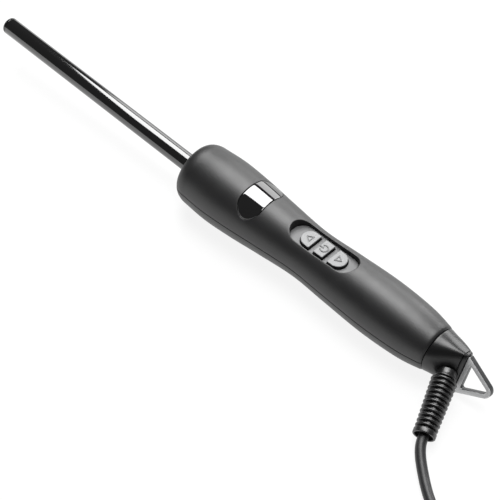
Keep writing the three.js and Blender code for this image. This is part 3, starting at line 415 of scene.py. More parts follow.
# Each of the record's material slots has a look of its own. The last four are for pieces, or faces of
# pieces, that look different from the rest of their slot; two of them paint shade: black on the sides of
# the keys and the bezel, and a darker grey on the keys' marks.
LOOKS = {
    "soft_touch_charcoal": surface(
        "soft_touch", (0.005, 0.005, 0.0054), 0.46, grain=0.25, bump=0.12, index=1.72
    ),
    "gloss_black_plastic": surface(
        "tail_gloss", (0.004, 0.004, 0.0044), 0.32, grain=0.35, bump=0.2, index=1.6
    ),
    "barrel_coating": surface(
        "barrel_coat", (0.003, 0.003, 0.0032), 0.09, grain=0.3, bump=0.01, spread=0.02, index=2.1
    ),
    "window_black": surface(
        "window_gloss", (0.002, 0.002, 0.0022), 0.04, grain=6.0, bump=0.01, spread=0.02, index=2.3
    ),
    "silver_grey_plastic": surface(
        "silver_paint", (0.28, 0.282, 0.285), 0.45, metallic=0.1, grain=0.12, bump=0.15
    ),
    "loop_silver": surface("loop_paint", (0.74, 0.745, 0.75), 0.34, metallic=0.2, grain=0.12, bump=0.1),
    "black_rubber": surface("relief_rubber", (0.004, 0.004, 0.0044), 0.36, grain=0.3, bump=0.12, index=1.8),
    "cord_sheath": surface("cord_rubber", (0.02, 0.02, 0.021), 0.42, grain=0.35, bump=0.15),
    "plug_plastic": surface("plug_black", (0.012, 0.012, 0.013), 0.38, grain=0.35, bump=0.2),
    "tie_strap": woven(surface("tie_weave", (0.015, 0.015, 0.016), 0.85, bump=0.6)),
    "heat_plastic": surface("heat_black", (0.012, 0.012, 0.012), 0.4, grain=0.4, bump=0.15),
    "white_plastic": surface("moulded_white", (0.7, 0.7, 0.67), 0.45, grain=0.5, bump=0.1),
    "ceramic_white": surface("fired_ceramic", (0.75, 0.72, 0.66), 0.7, grain=0.15, bump=0.4),
    "steel": brushed(
        surface("brushed_steel", (0.56, 0.57, 0.58), 0.28, metallic=1.0, grain=0.25, bump=0.15)
    ),
    "brass": surface("turned_brass", (0.62, 0.43, 0.16), 0.25, metallic=1.0, grain=0.2, bump=0.1),
    "board_green": surface("solder_mask", (0.012, 0.11, 0.035), 0.35, grain=0.6, bump=0.2, mottle=0.2),
    "chip_black": surface("moulded_epoxy", (0.016, 0.016, 0.018), 0.55, grain=0.1, bump=0.3),
    "capacitor_red": surface("dipped_resin", (0.3, 0.03, 0.02), 0.3, grain=1.2, bump=0.25),
    "clear_glass": clear_glass(),
    "wire_red": surface("red_silicone", (0.4, 0.02, 0.015), 0.45, grain=0.5, bump=0.1),
    "wire_blue": surface("blue_silicone", (0.02, 0.07, 0.3), 0.45, grain=0.5, bump=0.1),
    "wire_white": surface("white_silicone", (0.7, 0.69, 0.63), 0.45, grain=0.5, bump=0.1),
    "bezel_grey": surface("bezel_grey", (0.17, 0.171, 0.173), 0.5, metallic=0.1, grain=0.12, bump=0.2),
    # Unpainted black plastic on the shell's cut walls; on the sides of the keys and the bezel it is painted
    # shade, black as the shade in their gaps.
    "raw_black_and_painted_shade": surface("raw_black_and_painted_shade", (0.004, 0.004, 0.004), 0.5, grain=0.3, bump=0.2),
    "loop_edge": surface("loop_edge", (0.06, 0.061, 0.063), 0.35, metallic=0.3, grain=0.2, bump=0.1),
    # Painted shade: the key marks are a darker grey than the keys, standing in for the shade on their
    # raised edges.
    "mark_painted_shade": surface("mark_painted_shade", (0.14, 0.141, 0.143), 0.4, grain=0.12, bump=0.15),
}


# ---------------------------------------- flat outlines
def on_circle(x, y, radius, angles):
    return [(x + radius * math.cos(a), y + radius * math.sin(a)) for a in angles]


def rounded(corners, steps, closed=True):
    """A flat outline with each corner (x, y, radius) turned into an arc."""
    points = []
    count = len(corners)
    for i, (x, y, radius) in enumerate(corners):
        here = Vector((x, y))
        is_end = not closed and i in (0, count - 1)
        if radius <= 0 or is_end:
            points.append((x, y))
            continue
        before = (Vector(corners[i - 1][:2]) - here).normalized()
        after = (Vector(corners[(i + 1) % count][:2]) - here).normalized()
        half = before.angle(after) / 2
        centre = here + (before + after).normalized() * radius / math.sin(half)
        start = here + before * radius / math.tan(half) - centre
        end = here + after * radius / math.tan(half) - centre
        first = math.atan2(start.y, start.x)
        turn = math.remainder(math.atan2(end.y, end.x) - first, TAU)
        points += on_circle(*centre, radius, [first + turn * k / steps for k in range(steps + 1)])
    return points


def stadium(x, half_x, half_y, spacing):
    """A stadium about (x, 0), whose round ends are on its longer axis."""
    r = min(half_x, half_y)
    reach = abs(half_x - half_y)
    arc = max(8, round(math.pi * r / spacing))
    straight = round(2 * reach / spacing)
    points = []
    for side in (1, -1):
        for k in range(arc):
            angle = math.pi * k / arc - math.pi / 2
            points.append((side * (reach + r * math.cos(angle)), side * r * math.sin(angle)))
        for k in range(straight):
            points.append((side * reach * (1 - 2 * k / straight), side * r))
    if half_y >= half_x:
        points = [(-v, u) for u, v in points]
    return [(x + u, v) for u, v in points]


def stadium_distance(x, y, shape):
    """How far (x, y) is outside a stadium such as WINDOW; negative inside."""
    half_x, half_y = shape["half_x"], shape["half_y"]
    r = min(half_x, half_y)
    dx = max(abs(x - shape["x"]) - (half_x - r), 0)
    dy = max(abs(y - shape.get("y", 0)) - (half_y - r), 0)
    return math.hypot(dx, dy) - r


# ---------------------------------------- solid shapes
def lathe(profile, segments):
    """A body turned about +X from (x, r) points, closed on the axis or on itself."""
    vertices, rings = [], []
    for x, r in profile:
        count = 1 if r < 1e-6 else segments
        rings.append([len(vertices) + k for k in range(count)])
        for k in range(count):
            angle = TAU * k / count
            vertices.append((x, r * math.cos(angle), r * math.sin(angle)))
    pairs = list(zip(rings, rings[1:]))
    if len(rings[0]) > 1:
        pairs.append((rings[-1], rings[0]))
    faces = []
    for a, b in pairs:
        for k in range(segments):
            j = (k + 1) % segments
            corners = [a[k % len(a)], a[j % len(a)], b[j % len(b)], b[k % len(b)]]
            corners = list(dict.fromkeys(corners))
            if len(corners) > 2:
                faces.append(corners)
    return vertices, faces


def turned(corners, steps, segments, closed=False):
    """A body turned about +X from rounded (x, r, radius) corners, closed on the axis or on itself."""
    return lathe(rounded(corners, steps, closed), segments)


def slab(outline, z0, z1, hole=None):
    """A flat outline pushed up from z0 to z1; a hole has as many points as the outline."""
    count = len(outline)
    loops = [outline] if hole is None else [outline, hole]
    vertices = [(x, y, z) for z in (z0, z1) for loop in loops for x, y in loop]
    level = count * len(loops)
    faces = []
    for k in range(count):
        j = (k + 1) % count
        faces.append((k, j, level + j, level + k))
        if hole is not None:
            faces.append((count + k, count + j, level + count + j, level + count + k))
            for base in (0, level):
                faces.append((base + k, base + j, base + count + j, base + count + k))
    if hole is None:
        faces.append(tuple(range(count)))
        faces.append(tuple(range(level, level + count)))
    return vertices, faces


def patch_wall(points, loops, keep, outer, inner):
    """A closed wall over a flat patch, which outer and inner place on its two faces.

    loops are closed runs of further points that the mesh has to follow. keep tells which of the
    patch's triangles belong to the wall. The last item returned is where the rim's faces start.
    """
    points = list(points)
    edges = []
    for loop in loops:
        first = len(points)
        points.extend(loop)
        edges.extend((first + k, first + (k + 1) % len(loop)) for k in range(len(loop)))
    result = geometry.delaunay_2d_cdt([Vector(p) for p in points], edges, [], 0, 1e-7)
    flat = result[0]
    triangles = []
    for face in result[2]:
        centre = sum((flat[i] for i in face), Vector((0, 0))) / len(face)
        if keep(centre):
            triangles.append(tuple(face))
    used = sorted({i for face in triangles for i in face})
    index = {old: new for new, old in enumerate(used)}
    triangles = [tuple(index[i] for i in face) for face in triangles]
    count = len(used)
    vertices = [outer(*flat[i]) for i in used] + [inner(*flat[i]) for i in used]
    directed = {(f[k], f[(k + 1) % 3]) for f in triangles for k in range(3)}
    back = [tuple(i + count for i in reversed(f)) for f in triangles]
    rim = [(b, a, a + count, b + count) for a, b in sorted(directed) if (b, a) not in directed]
    return vertices, triangles + back + rim, len(triangles) + len(back)


# ---------------------------------------- pieces
BEVEL_SEGMENTS = 4
BEVEL_ANGLE = math.radians(40)
SHARP_ANGLE = math.radians(35)


def mesh_object(name, shape, place):
    """A new object from (vertices, faces) in millimetres, placed by a frame, with its faces outwards."""
    mesh = bpy.data.meshes.new(name)
    vertices, faces = shape
    mesh.from_pydata(vertices, [], faces)
    mesh.transform(Matrix.Scale(MM, 4) @ place)
    work = bmesh.new()
    work.from_mesh(mesh)
    bmesh.ops.remove_doubles(work, verts=work.verts, dist=1e-7)
    bmesh.ops.recalc_face_normals(work, faces=work.faces)
    work.to_mesh(mesh)
    work.free()
    return new_object(name, mesh)


def piece(name, shape, place, body, slot, replaces=(), look=None, bevel=None, cutters=()):
    """A mesh object that is cut, bevelled and smoothed. It has its slot's look unless another is given."""
    obj = mesh_object(name, shape, place)
    for tool in cutters:
        cut = obj.modifiers.new("cut", "BOOLEAN")
        cut.object = tool
        cut.operation = "DIFFERENCE"
        cut.solver = "EXACT"
    if bevel:
        edge = obj.modifiers.new("edge", "BEVEL")
        edge.width = bevel * MM
        edge.segments = BEVEL_SEGMENTS
        edge.limit_method = "ANGLE"
        edge.angle_limit = BEVEL_ANGLE
        edge.use_clamp_overlap = True
    if obj.modifiers:
        graph = bpy.context.evaluated_depsgraph_get()
        first = obj.data
        obj.data = bpy.data.meshes.new_from_object(obj.evaluated_get(graph))
        obj.modifiers.clear()
        obj.data.name = name
        bpy.data.meshes.remove(first)
    for tool in cutters:
        bpy.data.objects.remove(tool)
    obj.data.shade_smooth()
    obj.data.set_sharp_from_angle(angle=SHARP_ANGLE)
    obj.data.materials.clear()
    obj.data.materials.append(LOOKS[look or slot])
    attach(obj, body)
    if replaces:
        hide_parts(*replaces)
    return obj


def cutter(shape, place):
    return mesh_object("cutter", shape, place)


def second_look(obj, look, chosen):
    """Gives the faces for which chosen(face) is true a second look."""
    obj.data.materials.append(LOOKS[look])
    for face in obj.data.polygons:
        if chosen(face):
            face.material_index = 1


# ---------------------------------------- handle surface
def spline(knots, steps):
    """A uniform Catmull-Rom curve through the knots, with steps points for each span."""
    points = []
    last = len(knots) - 1
    for i in range(last):
        p0, p1, p2, p3 = (Vector(knots[max(0, min(last, i + k))]) for k in (-1, 0, 1, 2))
        v1, v2 = (p2 - p0) / 2, (p3 - p1) / 2
        for k in range(steps):
            t = k / steps
            bend = (2 * p1 - 2 * p2 + v1 + v2) * t**3 + (3 * p2 - 3 * p1 - 2 * v1 - v2) * t**2
            points.append(bend + v1 * t + p1)
    points.append(Vector(knots[last]))
    return points


def handle_outline():
    """(x, r) points of the handle from its front hole, over its sides, to its rear hole."""
    face_steps, edge_steps, side_steps = 6, 14, 24
    rear_edge_r = 0.4
    edge_start = BULGE_START_R - FRONT_EDGE_HEIGHT
    points = []
    for k in range(face_steps):
        points.append(Vector((0, FRONT_HOLE_R + (edge_start - FRONT_HOLE_R) * k / face_steps)))
    for k in range(edge_steps):
        angle = math.pi / 2 * k / edge_steps
        x = -FRONT_EDGE_LENGTH * (1 - math.cos(angle))
        points.append(Vector((x, edge_start + FRONT_EDGE_HEIGHT * math.sin(angle))))
    points.extend(spline(HANDLE_PROFILE, side_steps))
    rear = [(-HANDLE_LENGTH, REAR_EDGE_R, rear_edge_r), (-HANDLE_LENGTH, REAR_HOLE_R, 0)]
    rear_edge = rounded([(*HANDLE_PROFILE[-1], 0), *rear], 4, closed=False)
    points.extend(Vector(p) for p in rear_edge[1:-1])
    for k in range(1, face_steps + 1):
        r = REAR_EDGE_R - rear_edge_r + (REAR_HOLE_R - REAR_EDGE_R + rear_edge_r) * k / face_steps
        points.append(Vector((-HANDLE_LENGTH, r)))
    return points


OUTLINE = handle_outline()
TRAVEL = [0.0]
for a, b in zip(OUTLINE, OUTLINE[1:]):
    TRAVEL.append(TRAVEL[-1] + (b - a).length)
TOTAL_TRAVEL = TRAVEL[-1]
PATCH_HALF = 22.0  # half the patch's width, about half the handle's girth
SEAM_EDGE = 0.22  # radius of the shells' edges along the seam
EDGE_ROWS = (0.0, 0.05, 0.15, 0.35, 0.65, 1.0)  # shares of an edge's radius
FRONT_POINTS = 20  # the outline's points on the front face and its rounded edge
REAR_TRAVEL = 6.0  # about the travel across the rear face
HALVINGS = 40


def station(travel):
    """x, radius and outward normal on the handle's outline, travel millimetres from its front hole."""
    i = max(1, min(len(TRAVEL) - 1, bisect_right(TRAVEL, travel)))
    span = TRAVEL[i] - TRAVEL[i - 1]
    t = max(0.0, min(1.0, (travel - TRAVEL[i - 1]) / span))
    here = OUTLINE[i - 1].lerp(OUTLINE[i], t)
    before, after = OUTLINE[max(0, i - 2)], OUTLINE[min(len(OUTLINE) - 1, i + 1)]
    tangent = (after - before).normalized()
    return here.x, here.y, tangent.y, -tangent.x


def travel_at(x):
    """The travel along the handle's side at which its outline passes x."""
    low, high = TRAVEL[FRONT_POINTS], TOTAL_TRAVEL - REAR_TRAVEL
    for _ in range(HALVINGS):
        middle = (low + high) / 2
        if station(middle)[0] > x:
            low = middle
        else:
            high = middle
    return low


def half_angle(r):
    return math.acos(GAP / 2 / r)


def seen_from_above(travel, across):
    x, r, _, _ = station(travel)
    return x, r * math.sin(across / PATCH_HALF * half_angle(r))


def to_patch(x, y):
    """The patch point of a place on the handle's side, given as seen along z."""
    travel = travel_at(x)
    r = station(travel)[1]
    return travel, PATCH_HALF * math.asin(y / r) / half_angle(r)


def edge_drop(distance, radius):
    """How far a rounded edge falls back, distance millimetres from the edge."""
    if distance >= radius:
        return 0.0
    return radius - math.sqrt(radius**2 - (radius - max(distance, 0.0)) ** 2)


HOLE_SPACING = 0.6
SIDE_START = 0.6  # the share of the radius beyond which the upper wall's inside draws in to the seam
END_STRETCH = 4.0  # near the handle's ends the inside simply follows the outside
ON_FRONT_FACE = 1e-6
ON_REAR_FACE = 0.01


def hole_outline(hole, margin):
    half_x, half_y = hole["half_x"] + margin, hole["half_y"] + margin
    spacing = min(HOLE_SPACING, half_x / 4)
    return [to_patch(x, y + hole.get("y", 0)) for x, y in stadium(hole["x"], half_x, half_y, spacing)]


class ShellSide:
    """The upper (side 1) or lower (side -1) half of the handle's wall, with its holes."""

    def __init__(self, side, holes):
        self.side = side
        self.holes = holes

    def outer(self, travel, across):
        x, r, nx, nr = station(travel)
        widest = half_angle(r)
        angle = across / PATCH_HALF * widest
        drop = edge_drop((widest - abs(angle)) * r, SEAM_EDGE)
        drop += edge_drop(travel, SEAM_EDGE) + edge_drop(TOTAL_TRAVEL - travel, SEAM_EDGE)
        y = r * math.sin(angle)
        for hole in self.holes:
            drop += edge_drop(stadium_distance(x, y, hole), hole["lip"])
        point = Vector((x, y, self.side * r * math.cos(angle)))
        normal = Vector((nx, nr * math.sin(angle), self.side * nr * math.cos(angle)))
        return self.above_table(point - normal * drop)

    def above_table(self, point):
        """The underside is flat where it would reach below the table."""
        world = HANDLE @ point
        world.z = max(world.z, 0.0)
        return HANDLE.inverted() @ world

    def inner(self, travel, across):
        x, r, _, _ = station(travel)
        angle = across / PATCH_HALF * half_angle(r)
        y = r * math.sin(angle)
        if self.side > 0 and stadium_distance(x, y, SLOT) < SLOT_RIM:
            return Vector((x, y, SLOT_RIM_BOTTOM_Z))
        deep = x
        inset = r - SHELL_WALL
        edge_start = BULGE_START_R - FRONT_EDGE_HEIGHT
        if x > -FRONT_WALL:
            deep = -FRONT_WALL
        if x > -ON_FRONT_FACE:
            share = (r - FRONT_HOLE_R) / (edge_start - FRONT_HOLE_R)
            inset = FRONT_HOLE_R + share * (edge_start - SHELL_WALL - FRONT_HOLE_R)
        if x < REAR_WALL - HANDLE_LENGTH:
            deep = REAR_WALL - HANDLE_LENGTH
        if x < ON_REAR_FACE - HANDLE_LENGTH:
            share = (r - REAR_HOLE_R) / (REAR_EDGE_R - REAR_HOLE_R)
            inset = REAR_HOLE_R + share * (REAR_EDGE_R - SHELL_WALL - REAR_HOLE_R)
        share = min(1.0, max(0.0, (abs(y) / r - SIDE_START) / (1 - SIDE_START)))
        narrowed = y * (1 - (1 - inset / r) * share)
        is_end = x > -FRONT_WALL - END_STRETCH or x < REAR_WALL + END_STRETCH - HANDLE_LENGTH
        if self.side < 0 or is_end:
            narrowed = y * inset / r
        level = math.sqrt(max(inset**2 - narrowed**2, (GAP / 2) ** 2))
        return Vector((deep, narrowed, self.side * level))

    def wall(self):
        spacing = 0.85
        clear = 0.55
        rows = [e * SEAM_EDGE for e in EDGE_ROWS]
        travels = rows + [TOTAL_TRAVEL - e for e in rows]
        count = round(TOTAL_TRAVEL / spacing)
        travels += [SEAM_EDGE + (TOTAL_TRAVEL - 2 * SEAM_EDGE) * k / count for k in range(1, count)]
        acrosses = [s * (PATCH_HALF - e) for e in rows for s in (1, -1)]
        count = round(2 * PATCH_HALF / spacing)
        inside = PATCH_HALF - SEAM_EDGE
        acrosses += [inside * (2 * k / count - 1) for k in range(1, count)]
        points = []
        for travel in travels:
            for across in acrosses:
                x, y = seen_from_above(travel, across)
                if all(stadium_distance(x, y, h) > h["lip"] + clear for h in self.holes):
                    points.append((travel, across))
        loops = []
        for hole in self.holes:
            loops.extend(hole_outline(hole, e * hole["lip"]) for e in EDGE_ROWS)
        return patch_wall(points, loops, self.keep, self.outer, self.inner)

    def keep(self, centre):
        x, y = seen_from_above(*centre)
        return all(stadium_distance(x, y, hole) > -1e-4 for hole in self.holes)


def add_shells():
    window_seat = {**WINDOW, "lip": WINDOW_LIP}
    slot = {**SLOT, "lip": SLOT_LIP}
    bore = {"half_x": COUNTERBORE_R, "half_y": COUNTERBORE_R, "lip": COUNTERBORE_LIP}
    screw_holes = [{"x": x, "y": y, **bore} for x, y in SHELL_SCREWS]
    halves = [("upper_shell", 1, [window_seat, slot]), ("lower_shell", -1, screw_holes)]
    for name, side, holes in halves:
        vertices, faces, rim = ShellSide(side, holes).wall()
        shape = (vertices, faces)
        shell = piece(name + "_skin", shape, HANDLE, ON_HANDLE, "soft_touch_charcoal", [name])
        # The shell's cut walls get unpainted black plastic, close to the shell's own colour.
        second_look(shell, "raw_black_and_painted_shade", lambda face: face.index >= rim)


def add_window():
    """The dark lens lies flush in its seat, with a fine bevel round its edge."""
    spacing, rows, columns, clear, sunk = 0.5, 14, 38, 0.35, 0.02

    def place(travel, across, inset):
        x, r, nx, nr = station(travel)
        angle = across / PATCH_HALF * half_angle(r)
        y = r * math.sin(angle)
        drop = inset + edge_drop(WINDOW_MARGIN - stadium_distance(x, y, WINDOW), WINDOW_EDGE)
        normal = Vector((nx, nr * math.sin(angle), nr * math.cos(angle)))
        return Vector((x, y, r * math.cos(angle))) - normal * drop

    def outside(travel, across):
        return stadium_distance(*seen_from_above(travel, across), WINDOW)

    centre = travel_at(WINDOW["x"])
    points = []
    for i in range(-rows, rows + 1):
        for j in range(-columns, columns + 1):
            spot = (centre + spacing * i, spacing * j)
            if outside(*spot) < WINDOW_MARGIN - WINDOW_EDGE - clear:
                points.append(spot)
    vertices, faces, _ = patch_wall(
        points,
        [hole_outline(WINDOW, WINDOW_MARGIN - e * WINDOW_EDGE) for e in EDGE_ROWS],
        lambda spot: outside(*spot) < WINDOW_MARGIN,
        lambda travel, across: place(travel, across, sunk),
        lambda travel, across: place(travel, across, WINDOW_THICKNESS),
    )
    piece("window_lens", (vertices, faces), HANDLE, ON_HANDLE, "window_black", ["display_window"])


# ---------------------------------------- bezel and buttons
BUTTON_GROUP_HALF = BUTTON_END_LENGTH + BUTTON_SPACING + BUTTON_MIDDLE_LENGTH / 2
BUTTON_PITCH = (BUTTON_END_LENGTH + BUTTON_MIDDLE_LENGTH) / 2 + BUTTON_SPACING


def key_outline(which, margin):
    """The outline of the up (1), power (0) or down (-1) key, grown by margin."""
    half_y = BUTTON_HALF_Y + margin
    if which == 0:
        half_x = BUTTON_MIDDLE_LENGTH / 2 + margin
        corner, steps = 0.5, 4
        corners = [(-half_x, -half_y), (half_x, -half_y), (half_x, half_y), (-half_x, half_y)]
        return rounded([(SLOT["x"] + x, y, corner) for x, y in corners], steps)
    tip = BUTTON_GROUP_HALF + margin
    base = tip - BUTTON_END_LENGTH - 2 * margin
    steps = 40
    angles = [math.pi * k / steps - math.pi / 2 for k in range(steps + 1)]
    points = [(base, -half_y), *on_circle(tip - half_y, 0, half_y, angles), (base, half_y)]
    if which < 0:
        points = [(-x, -y) for x, y in points]
    return [(SLOT["x"] + x, y) for x, y in points]


def add_bezel():
    margin, spacing = -0.15, 0.4
    outline = stadium(SLOT["x"], SLOT["half_x"] + margin, SLOT["half_y"] + margin, spacing)
    cutters = [
        cutter(slab(key_outline(which, GAP), BEZEL_FLANGE_Z - 1, BEZEL_TOP_Z + 1), HANDLE)
        for which in (1, 0, -1)
    ]
    bezel = piece(
        "bezel_plate", slab(outline, BEZEL_FLANGE_Z, BEZEL_TOP_Z), HANDLE, ON_HANDLE,
        "silver_grey_plastic", ["button_bezel"], "bezel_grey", bevel=0.15, cutters=cutters,
    )
    # Painted shade: the bezel's side walls are black, as the shade in the gaps round the keys.
    paint_side_shade(bezel, 0.3)


def paint_side_shade(obj, least):
    """The faces that look up less than least are painted black: painted shade, as the shade in the gaps
    round them.
    """
    upwards = (HANDLE.to_3x3() @ Vector((0, 0, 1))).normalized()
    second_look(obj, "raw_black_and_painted_shade", lambda face: face.normal.dot(upwards) < least)


def triangle_mark(x, facing):
    """A hollow triangle that points to facing along x, as its outline and its hole."""
    half, reach = TRIANGLE_MARK["half"], facing * TRIANGLE_MARK["length"] / 2
    corners = [Vector((x - reach, -half)), Vector((x + reach, 0)), Vector((x - reach, half))]
    centre = sum(corners, Vector((0, 0))) / 3
    hole = [centre + (c - centre) * (1 - TRIANGLE_MARK["line"]) for c in corners]
    return rounded([(*c, 0.15) for c in corners], 3), rounded([(*c, 0.06) for c in hole], 3)


def power_mark(x):
    """Outlines of a broken ring and of the bar in its opening, which is towards the barrel."""
    outer, inner, opening, steps = POWER_MARK["outer"], POWER_MARK["inner"], POWER_MARK["opening"], 28
    sweep = [opening + (TAU - 2 * opening) * k / steps for k in range(steps + 1)]
    ring = on_circle(x, 0, outer, sweep) + on_circle(x, 0, inner, reversed(sweep))
    half = (outer - inner) / 2
    start, end = (x + place for place in POWER_MARK["bar"])
    corners = [(start, -half), (end, -half), (end, half), (start, half)]
    return ring, rounded([(*c, 0.1) for c in corners], 2)


def add_key(name, which):
    body = name + "_button"
    slot = "silver_grey_plastic"
    cap = slab(key_outline(which, 0), BUTTON_SKIRT_Z, BUTTON_TOP_Z)
    key = piece(name + "_key", cap, HANDLE, body, slot, ["button_" + name], bevel=0.35)
    # Painted shade: the key's sides are black under its silver top, as the shade in its gap.
    paint_side_shade(key, 0.35)
    base, top = BUTTON_TOP_Z - MARK_DEPTH, BUTTON_TOP_Z + MARK_HEIGHT
    x = SLOT["x"] + which * BUTTON_PITCH
    if which == 0:
        marks = [slab(outline, base, top) for outline in power_mark(x)]
    else:
        outline, hole = triangle_mark(x, which)
        marks = [slab(outline, base, top, hole)]
    for k, mark in enumerate(marks):
        # The marks' darker grey is painted shade.
        piece(f"{name}_key_mark_{k + 1}", mark, HANDLE, body, slot, look="mark_painted_shade", bevel=0.1)


def add_keys():
    add_key("up", 1)
    add_key("power", 0)
    add_key("down", -1)


# ---------------------------------------- barrel
def add_barrel():
    front = BARREL_EXPOSED - CAP_LENGTH - GAP / 2
    tube = turned(
        [
            (BARREL_TAIL, BARREL_BORE_R, 0),
            (BARREL_TAIL, BARREL_R, 0.1),
            (front, BARREL_R, 0.15),
            (front, BARREL_BORE_R, 0),
        ],
        4,
        BARREL_SEGMENTS,
        closed=True,
    )
    piece("barrel_sleeve", tube, BARREL, ON_HANDLE, "barrel_coating", ["barrel_tube"])
    seam = BARREL_EXPOSED - CAP_LENGTH
    cap = turned(
        [
            (seam - CAP_PLUG_LENGTH, 0, 0),
            (seam - CAP_PLUG_LENGTH, CAP_PLUG_R, 0.3),
            (seam, CAP_PLUG_R, 0),
            (seam, BARREL_R, 0.12),
            (BARREL_EXPOSED, BARREL_R, CAP_EDGE_R),
            (BARREL_EXPOSED, 0, 0),
        ],
        8,
        BARREL_SEGMENTS,
    )
    piece("barrel_tip", cap, BARREL, ON_HANDLE, "barrel_coating", ["barrel_end_cap"])


def add_collar():
    shoulder = -FRONT_WALL - COLLAR_SHOULDER
    collar = turned(
        [
            (COLLAR_REAR_X, COLLAR_BORE_R, 0),
            (COLLAR_REAR_X, COLLAR_FLANGE_R, 0.3),
            (shoulder, COLLAR_FLANGE_R, 0.3),
            (shoulder, COLLAR_R, 0),
            (COLLAR_PROUD, COLLAR_R, COLLAR_CHAMFER),
            (COLLAR_PROUD, COLLAR_BORE_R, 0.2),
        ],
        6,
        COLLAR_SEGMENTS,
        closed=True,
    )
    piece("collar_ring", collar, BARREL, ON_HANDLE, "heat_plastic", ["barrel_collar"])


# ---------------------------------------- tail
def evenly(points, count):
    """The closed outline again, as count points at even distances."""
    ends = points[1:] + points[:1]
    lengths = [(b - a).length for a, b in zip(points, ends)]
    step = sum(lengths) / count
    result, travel, target = [], 0.0, 0.0
    for a, b, length in zip(points, ends, lengths):
        while target < travel + length - 1e-9 and len(result) < count:
            result.append(a.lerp(b, (target - travel) / length))
            target += step
        travel += length
    return result


def tail_ring(t, drop):
    """One ring of the tail: t runs from its round front, 0, to its flat end, 1; drop moves it in."""
    half_z = TAIL_R + (TAIL_END_HALF_Z - TAIL_R) * t - drop
    half_y = TAIL_R + (TAIL_END_HALF_Y - TAIL_R) * max(t, 0) ** TAIL_PINCH - drop
    power = 2 + 3 * t * t
    count = 8 * TAIL_SEGMENTS
    fine = []
    for k in range(count):
        c, s = math.cos(TAU * k / count), math.sin(TAU * k / count)
        y = half_y * math.copysign(abs(c) ** (2 / power), c)
        z = half_z * math.copysign(abs(s) ** (2 / power), s)
        fine.append(Vector((TAIL_FRONT_X - TAIL_LENGTH * t, y, z)))
    return evenly(fine, TAIL_SEGMENTS)


def tail_rows():
    """(t, drop) for each ring: rounded ends, and a groove that sets off the lip at the flat end."""
    front_edge, end_edge, side_steps, groove_steps = 0.35, 0.4, 16, 8
    groove_at, width, depth = TAIL_GROOVE["at"], TAIL_GROOVE["width"], TAIL_GROOVE["depth"]
    rows = [(e * front_edge, edge_drop(e * front_edge, front_edge)) for e in EDGE_ROWS]
    side = groove_at - width - front_edge
    rows += [(front_edge + side * k / side_steps, 0.0) for k in range(1, side_steps + 1)]
    for k in range(groove_steps + 1):
        drop = depth * math.sin(math.pi * k / groove_steps) ** 0.6
        rows.append((groove_at + width * (k / groove_steps - 0.5), drop))
    rows += [
        (TAIL_LENGTH - e * end_edge, edge_drop(e * end_edge, end_edge)) for e in reversed(EDGE_ROWS)
    ]
    return [(distance / TAIL_LENGTH, drop) for distance, drop in rows]


def loft(rings):
    count = len(rings[0])
    vertices = [p for ring in rings for p in ring]
    faces = []
    for k in range(len(rings) - 1):
        for i in range(count):
            j = (i + 1) % count
            faces.append((k * count + i, k * count + j, (k + 1) * count + j, (k + 1) * count + i))
    faces.append(tuple(range(count)))
    faces.append(tuple(range(len(vertices) - count, len(vertices))))
    return vertices, faces


def rod(x0, x1, radius, segments):
    return lathe([(x0, 0), (x0, radius), (x1, radius), (x1, 0)], segments)


def box(low, high):
    outline = [(low[0], low[1]), (high[0], low[1]), (high[0], high[1]), (low[0], high[1])]
    return slab(outline, low[2], high[2])


def pin_hole():
    """A cutter for the loop's pin, which runs along y."""
    x = TAIL_END_X - GAP + TONGUE_LENGTH / 2
    across = Matrix.Translation((x, 0, 0)) @ Matrix.Rotation(math.pi / 2, 4, "Z")
    return cutter(rod(-LOOP_PIN_HOLE_HALF, LOOP_PIN_HOLE_HALF, LOOP_PIN_R + GAP / 2, 24), TAIL @ across)


def add_tail():
    rings = [tail_ring(t, drop) for t, drop in tail_rows()]
    slot_x = TAIL_END_X - GAP
    slot_y = TONGUE_THICKNESS / 2 + GAP
    slot_z = TONGUE_HALF + GAP
    chamber_rear = TAIL_FRONT_X - TAIL_CHAMBER_DEPTH
    inwards, outwards = -3, 20  # far enough along the relief's line to leave the housing's wall
    cutters = [
        cutter(rod(chamber_rear, TAIL_FRONT_X + 1, TAIL_CHAMBER_R, 64), TAIL),
        cutter(rod(RELIEF_PLUG_END - GAP, outwards, RELIEF_START_R + RELIEF_ROOM, 96), RELIEF),
        cutter(rod(inwards, RELIEF_PLUG_END, RELIEF_PLUG_R + GAP, 64), RELIEF),
        cutter(box((slot_x, -slot_y, -slot_z), (slot_x + TONGUE_LENGTH + GAP, slot_y, slot_z)), TAIL),
        pin_hole(),
    ]
    slot, nodes = "gloss_black_plastic", ["tail_housing"]
    piece("tail_cover", loft(rings), TAIL, ON_TAIL, slot, nodes, cutters=cutters)


def loop_corners(inset, base):
    """Three corners, with their radii, of the loop's triangle moved in by inset."""
    tip = TAIL_END_X - GAP - LOOP_LENGTH
    slope = LOOP_HALF / (LOOP_LENGTH + LOOP_TIP_R)
    angle = math.atan(slope)
    apex = tip - LOOP_TIP_R + inset / math.sin(angle)
    half = slope * (base - apex)
    corner = 0.5 if inset == 0 else 0.9
    return [(base, -half, corner), (base, half, corner), (apex, 0, LOOP_TIP_R - inset)]


